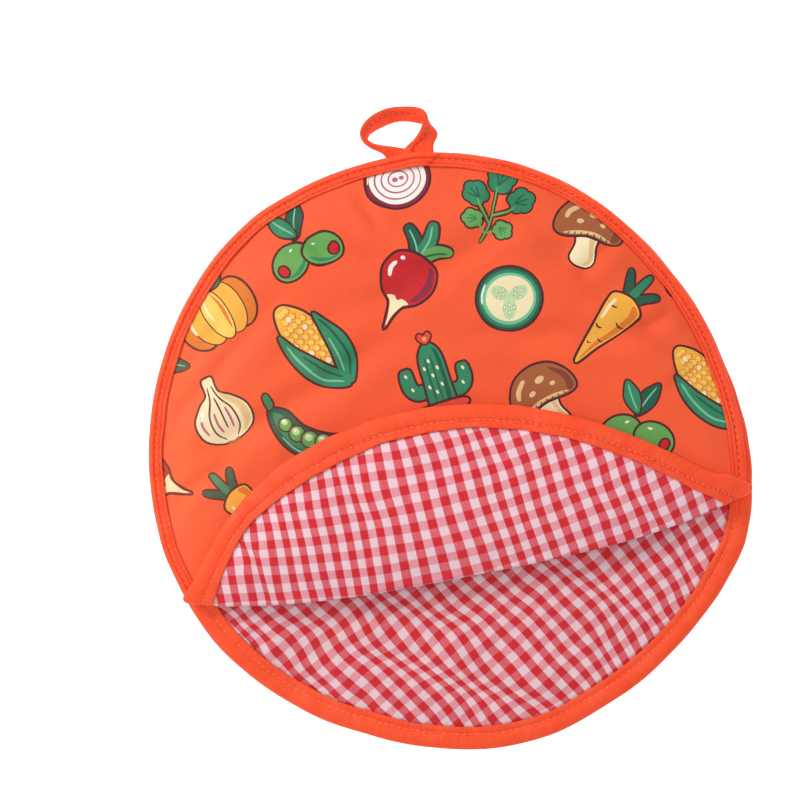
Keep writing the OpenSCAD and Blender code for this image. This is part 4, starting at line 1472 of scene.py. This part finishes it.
def around(edge, dist, base=150.0):
    """Path round a disc, dist inside its edge, as flat_xy for stitches."""
    def flat_xy(s):
        phi = s / base
        r = edge(phi) - (dist(phi) if callable(dist) else dist)
        xy = np.stack([r * np.cos(phi), r * np.sin(phi)], -1)
        return xy, -np.stack([np.cos(phi), np.sin(phi)], -1)
    return flat_xy


def on_ring(share):
    return lambda u, v: share * ring_half(np.arctan2(v, u))


front_stitch = stitch_mesh("front_binding_stitches", around(front_edge, lambda phi: STITCH_AT * lining_leg(phi)), front_at,
                           lift=on_ring(0.83), dive=0.36, seed=41, wobble=0.22, tilt=0.25, ends=(0, TAU * 150))
ditch_stitch = stitch_mesh("front_ditch_stitches", around(front_edge, 6.0), front_at,
                           lift=on_ring(0.87), dive=0.40, radius=0.15, seed=42, wobble=0.10,
                           ends=(0, TAU * 150), sign=-1)
dress(front_stitch, M_THREAD)
dress(ditch_stitch, M_THREAD_PAINTED_SHADE)
seam_front = stitch_mesh("closing_seam_stitches", around(front_edge, 3.5), front_at,
                         lift=on_ring(0.65), dive=0.46, seed=43, wobble=0.14, tilt=0.25, radius=0.24,
                         ends=(SEAM_A * 150, SEAM_B * 150), sign=-1)
dress(seam_front, M_THREAD)

# ---- back disc


def back_dist(u, v):
    return back_edge(np.arctan2(v, u)) - np.hypot(u, v)


def back_phase(u, v):
    c, s = math.cos(math.radians(26)), math.sin(math.radians(26))
    phi, d = np.arctan2(v, u), back_dist(u, v)
    dx, dy, _ = gather(u, v, BACK_CREASES)
    u, v = u + dx, v + dy
    p = 0.90 * u + (0.55 - 0.17 * sstep(20, 112, u)) * (v + 70) \
        + 2.1 * noise(u / 40, v / 34, 81) + 0.7 * noise(u / 19, v / 18, 82)
    q = 1.02 * (-u * s + v * c) \
        + 1.3 * noise(u / 44 + 7, v / 46, 83) + 0.6 * noise(u / 20, v / 19, 84)
    pull = np.exp(-(d / 19.0) ** 2)
    p = p + pull * 1.1 * ring_noise(phi, 78, 85)
    q = q + pull * 0.9 * ring_noise(phi, 72, 86)
    return np.c_[p, q]


def back_rise(u, v):
    d = back_dist(u, v)
    phi = np.arctan2(v, u)
    free = sstep(12, 34, d)
    ends = 0.6 + 0.9 * sstep(50, 115, np.abs(u)) * sstep(-25, -60, v)
    wide = 0.95 * noise(u / 33 + 2, v / 23, 91) + 0.4 * noise(u / 15, v / 12, 92)
    fold = 0.55 * (1 - np.abs(noise(u / 40, v / 16 + 4, 93))) ** 3
    pucker = 0.42 * ring_noise(phi, 96, 94) * np.exp(-((d - 16) / 7.0) ** 2) \
        + 0.2 * ring_noise(phi, 210, 95) * np.exp(-((d - 13.4) / 3.0) ** 2)
    lines = gather(u, v, BACK_CREASES)[2] * sstep(LEG_BACK - 0.8, 18, d)
    pucker = pucker * sstep(LEG_BACK - 1.1, LEG_BACK + 1, d)
    return free * ends * (0.5 + 0.75 * wide + 0.7 * fold) + pucker * ends + lines


def back_top(u, v):
    d = back_dist(u, v)
    base = RIM_H + 0.42 * sstep(LEG_BACK - 1.3, LEG_BACK + 0.7, d) + (1.30 - RIM_H) * sstep(LEG_BACK - 0.2, 25, d)
    rise = back_rise(u, v)
    return base + np.maximum(rise, -0.45 - 0.35 * np.tanh(np.maximum(-rise - 0.45, 0)))


def back_under(u, v):
    d = back_dist(u, v)
    return RIM_H + 0.42 * sstep(LEG_BACK - 1.3, LEG_BACK + 0.7, d) + (1.30 - RIM_H) * sstep(LEG_BACK - 0.2, 25, d)


bv, bf, bink = printed_disc(back_edge, BACK_LAYOUT, 1.95)
back_outer = layer("back_outer_cloth", bv, bf, back_at,
                   lambda u, v: -back_under(u, v), lambda u, v: -back_under(u, v) + FACE_T,
                   M_PRINT, ink=bink, lip=lambda u, v: back_dist(u, v) - LEG_BACK)
gv, gf = flat_mesh(back_edge, 1.75, seed=5)
back_lining = layer("back_lining_cloth", gv, gf, back_at,
                    lambda u, v: back_top(u, v) - FACE_T, back_top,
                    M_GING, phase=back_phase, lip=lambda u, v: back_dist(u, v) - LEG_BACK)
nv, nf = flat_mesh(back_edge, 2.8, hold=1.6, seed=6)
back_film = layer("back_film_sheet", nv, nf, back_at,
                  lambda u, v: back_top(u, v) - FACE_T - 0.02 - FILM_T,
                  lambda u, v: back_top(u, v) - FACE_T - 0.02,
                  M_FILM)
back_wadding = layer("back_wadding_pad", nv, nf, back_at,
                     lambda u, v: -back_under(u, v) + FACE_T + 0.02,
                     lambda u, v: back_top(u, v) - FACE_T - FILM_T - 0.04,
                     M_WAD)
for o in (back_outer, back_lining, back_film, back_wadding):
    flip_check(o)
v_, f_, c_, g_ = bound_ring(back_edge, back_at, LEG_BACK, LEG_BACK, 35,
                            grooves=[(-1, 4.4, 0.6, 0.7, SEAM_A, SEAM_B)])
back_binding = make_mesh("back_binding_tape", v_, f_)
add_vec(back_binding, "tape", c_)
add_vec(back_binding, "seam", g_)
dress(back_binding, M_TAPE)
back_stitch = stitch_mesh("back_binding_stitches", around(back_edge, LEG_BACK * STITCH_AT), back_at,
                          lift=1.68, dive=0.36, seed=44, wobble=0.26, tilt=0.3, ends=(0, TAU * 150))
back_stitch_under = stitch_mesh("back_binding_stitches_under", around(back_edge, LEG_BACK * STITCH_AT), back_at,
                                lift=1.68, dive=0.36, seed=45, wobble=0.2, tilt=0.2, ends=(0, TAU * 150), sign=-1)
seam_back = stitch_mesh("closing_seam_stitches_under", around(back_edge, 4.4), back_at,
                        lift=1.62, dive=0.36, seed=46, wobble=0.16, ends=(SEAM_A * 150, SEAM_B * 150), sign=-1)
for o in (back_stitch, back_stitch_under, seam_back):
    dress(o, M_THREAD)

# ---- hanging loop: the tape's two edges, station by station
_loop_a = np.array([(0.4, 147.5, 4.9), (0.3, 151, 4.9), (-0.4, 153.4, 5.2), (-2.9, 156.3, 6.8), (-7.7, 159.8, 8.2),
                    (-10.9, 163.6, 8.7), (-11.6, 167.5, 8.8), (-9.4, 171.3, 8.7), (-5.1, 174.4, 8.5), (0.1, 176.3, 8.3),
                    (5.2, 177.0, 8.2), (11.3, 176.4, 8.3), (17.4, 175.0, 8.5), (21.2, 173.0, 8.8),
                    (22.2, 170.3, 8.8), (20.9, 167.3, 8.6), (18.7, 163.4, 7.9), (15.2, 159.8, 6.7),
                    (11.2, 157.2, 5.9), (8.6, 154.8, 5.4), (8.4, 151, 5.0), (8.4, 147.5, 4.9)])
_loop_b = np.array([(12.6, 147.5, 4.9), (12.6, 151, 4.9), (11.6, 154.6, 4.8), (5.2, 157.4, 3.5), (-4.6, 160.8, 1.8),
                    (-8.9, 164.2, 1.1), (-7.9, 166.8, 1.1), (-4.6, 168.6, 1.3), (-0.1, 170.0, 1.5), (4.3, 170.9, 1.7),
                    (8.3, 171.1, 1.8), (12.4, 170.5, 1.7), (16.2, 169.3, 1.4), (19.4, 168.1, 1.1),
                    (22.6, 167.4, 1.1), (24.6, 165.1, 1.3), (26.3, 161.8, 2.2), (25.4, 158.8, 3.4),
                    (23.3, 156.1, 4.4), (22.4, 153.5, 4.8), (22.2, 151, 4.9), (22.2, 147.5, 4.9)])


def along_stations(tab, n=260):
    """Smooth curve through the stations, n points, equal share per station."""
    p = np.r_[[2 * tab[0] - tab[1]], tab, [2 * tab[-1] - tab[-2]]]
    s = np.linspace(0, len(tab) - 1 - 1e-6, n)
    i = s.astype(int)
    t = (s - i)[:, None]
    a, b, c, d = p[i], p[i + 1], p[i + 2], p[i + 3]
    return 0.5 * (2 * b + (c - a) * t + (2 * a - 5 * b + 4 * c - d) * t ** 2 + (3 * b - a - 3 * c + d) * t ** 3)


LA, LB = along_stations(_loop_a), along_stations(_loop_b)
loop_mid = (LA + LB) / 2
loop_tan = np.gradient(loop_mid, axis=0)
loop_tan /= np.linalg.norm(loop_tan, axis=1, keepdims=True)
loop_w = LB - LA
loop_n = np.cross(loop_tan, loop_w)
loop_n /= np.linalg.norm(loop_n, axis=1, keepdims=True)


def loop_half(w):
    """Half thickness across the tape, w from 0 at its folded edge to 1."""
    return np.interp(w, [0, .10, .20, .27, .31, .35, .44, .7, .9, 1],
                     [.85, 1.15, 1.14, .86, .52, .70, .88, .86, .82, .62])


def loop_point(i, w, side, lift=0.0):
    """Point on the tape's skin at station i."""
    return LA[i] + loop_w[i] * w + loop_n[i] * side * (loop_half(w) + lift)


prof = []
for w in (0.02, .07, .13, .20, .25, .285, .31, .335, .37, .44, .55, .66, .77, .88, .96):
    prof.append((w, +1))
prof += [(1.055, 0.45), (1.055, -0.45)]
for w in (.96, .88, .77, .66, .55, .44, .37, .335, .31, .285, .25, .20, .13, .07, 0.02):
    prof.append((w, -1))
prof += [(-0.055, -0.55), (-0.085, 0.0), (-0.055, 0.55)]
n_st = len(LA)
st = np.linspace(0, 1, n_st)
arc = np.r_[0, np.cumsum(np.linalg.norm(np.diff(loop_mid, axis=0), axis=1))]
rings = np.zeros((n_st, len(prof), 3))
loop_co = np.zeros((n_st, len(prof), 3))
for j, (w, side) in enumerate(prof):
    rip = 0.07 * noise(arc / 3.1, w * 3 + side, 101) + 0.05 * noise(arc / 1.4, w * 5, 102)
    hh = loop_half(min(max(w, 0), 1)) + rip
    rings[:, j] = LA + loop_w * w + loop_n * (side * hh)[:, None]
    loop_co[:, j] = np.c_[arc, np.full(n_st, w * 10.5 + (20 if side < 0 else 0)), np.zeros(n_st)]
rings[..., 2] = np.maximum(rings[..., 2], 0.06)
v_, f_ = strip_mesh(rings, closed=False)
m = len(prof)
caps = []
for base in (0, (n_st - 1) * m):
    q = [[base + i, base + i + 1, base + m - 2 - i, base + m - 1 - i] for i in range(m // 2 - 1)]
    caps += q
hanging = make_mesh("hanging_loop_tape", v_, np.r_[f_, np.array(caps)])
add_vec(hanging, "tape", loop_co.reshape(-1, 3))
# the loop's stitch line gets the tape's painted groove shade through the seam attribute
lg = np.full_like(loop_co, 99.0)
lg[..., 0] = lg[..., 1] = (np.array([w for w, _ in prof]) - 0.31)[None] * 10.5
add_vec(hanging, "seam", lg.reshape(-1, 3))
dress(hanging, M_TAPE)


def loop_stitches(name, side, seed, pitch=2.9, gap=0.55, radius=0.24, sides=6):
    """Edge stitches that run along the loop's folded edge."""
    rng = np.random.default_rng(seed)
    a0, a1 = np.interp(5.5, arc, arc), arc[-1] - 5.5
    count = int((a1 - a0) / pitch)
    rows = 7
    t = np.linspace(0, 1, rows)
    s = a0 + np.arange(count)[:, None] * pitch + gap / 2 + (pitch - gap) * t[None]
    w = 0.31 + rng.uniform(-0.012, 0.012, count)[:, None] + 0 * s
    lift = 0.12 - 0.34 * np.abs(2 * t - 1)[None] ** 3

    def lookup(a):
        return np.stack([np.interp(s, arc, a[:, k]) for k in range(3)], -1)
    A, W, N = lookup(LA), lookup(loop_w), lookup(loop_n)
    mid = A + W * w[..., None] + N * (side * (0.55 + lift))[..., None]
    tan = np.gradient(mid, axis=1)
    tan /= np.linalg.norm(tan, axis=-1, keepdims=True)
    up = N * side
    bi = np.cross(tan, up)
    bi /= np.linalg.norm(bi, axis=-1, keepdims=True)
    fat = radius * np.sqrt(np.maximum(1 - np.abs(2 * t - 1) ** 4, 0.12))
    ang = np.arange(sides) / sides * TAU
    ring = (mid[:, :, None] + bi[:, :, None] * np.cos(ang)[None, None, :, None] * fat[None, :, None, None]
            + up[:, :, None] * (np.sin(ang) * 0.85)[None, None, :, None] * fat[None, :, None, None])
    base = np.arange(count) * rows * sides
    faces = []
    for r in range(rows - 1):
        for q in range(sides):
            a_, b_ = r * sides + q, r * sides + (q + 1) % sides
            faces.append(np.c_[base + a_, base + b_, base + b_ + sides, base + a_ + sides])
    for e, flip in ((0, False), ((rows - 1) * sides, True)):
        faces.append(np.c_[base + e, base + e + 3, base + e + 2, base + e + 1] if not flip
                     else np.c_[base + e, base + e + 1, base + e + 2, base + e + 3])
        faces.append(np.c_[base + e, base + e + 5, base + e + 4, base + e + 3] if not flip
                     else np.c_[base + e, base + e + 3, base + e + 4, base + e + 5])
    o = make_mesh(name, ring.reshape(-1, 3), np.concatenate(faces))
    co = np.stack([np.broadcast_to(s[:, :, None], (count, rows, sides)),
                   np.broadcast_to(ang[None, None], (count, rows, sides)),
                   np.broadcast_to(np.arange(count)[:, None, None], (count, rows, sides))], -1)
    add_vec(o, "along", co.reshape(-1, 3))
    return o


loop_stitch_a = dress(loop_stitches("hanging_loop_stitches", +1, 51), M_THREAD)
loop_stitch_b = dress(loop_stitches("hanging_loop_stitches_back", -1, 52), M_THREAD)


def tack_path(s):
    x = s - 20.0
    xy = np.stack([x, 149.6 + 0 * x], -1)
    return xy, np.stack([0 * x, -1 + 0 * x], -1)


tack = stitch_mesh("loop_tack_stitches", tack_path, lambda u, v, h: np.stack([u, v, 4.9 + h], -1),
                   lift=0.98, dive=0.3, pitch=2.6, radius=0.22, seed=53, ends=(19.5, 42.0))
dress(tack, M_THREAD)

# -------------------------------------------------------------------------- bodies and hidden CAD nodes
# bodies, nodes and declarations
# --------------------------------------------------------------------------
for o in (front_outer, front_lining, front_film, front_wadding, front_binding, front_stitch, ditch_stitch):
    bend(o)
for o in (seam_front, seam_back, back_outer, back_lining, back_film, back_wadding, back_binding, back_stitch,
          back_stitch_under, tack):
    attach(o, "pouch")
for o in (hanging, loop_stitch_a, loop_stitch_b):
    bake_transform(o)

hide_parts("front_outer_upper", "front_outer_flap")
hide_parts("front_lining_upper", "front_lining_flap")
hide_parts("front_heat_film_upper", "front_heat_film_flap")
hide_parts("front_wadding_upper", "front_wadding_flap")
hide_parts("front_binding_upper", "front_binding_flap")
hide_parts("front_binding_thread_upper", "front_binding_thread_flap")
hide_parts("closing_seam_thread")
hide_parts("back_outer")
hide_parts("back_lining")
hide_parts("back_heat_film")
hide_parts("back_wadding")
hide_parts("back_binding")
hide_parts("back_binding_thread")
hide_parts("hanging_loop", "loop_tail")
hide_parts("hanging_loop_thread")
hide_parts("loop_tack_thread")

# floor: a pale plain surface
n = 48
gx, gy = np.meshgrid(np.linspace(-1900, 1900, n + 1), np.linspace(-1900, 1900, n + 1))
fv = np.c_[gx.ravel(), gy.ravel(), np.full(gx.size, -0.6)]
i, j = np.meshgrid(np.arange(n), np.arange(n))
k0 = (j * (n + 1) + i).ravel()
floor = make_mesh("floor", fv, np.c_[k0, k0 + 1, k0 + n + 2, k0 + n + 1])
mf_ = Nodes("pale_floor", Roughness=0.9)
mf_.b.inputs["Specular IOR Level"].default_value = 0.1
pos = mf_.node("ShaderNodeTexCoord").outputs["Object"]
grain = mf_.noise(pos, 3.0, 3)
mf_.link(mf_.mix(grain, lin((250, 250, 250)), lin((254, 254, 254))), mf_.b.inputs["Base Color"])
mf_.b.inputs["Emission Color"].default_value = (1, 1, 1, 1)
mf_.b.inputs["Emission Strength"].default_value = 0.90
floor.data.materials.append(mf_.mat)
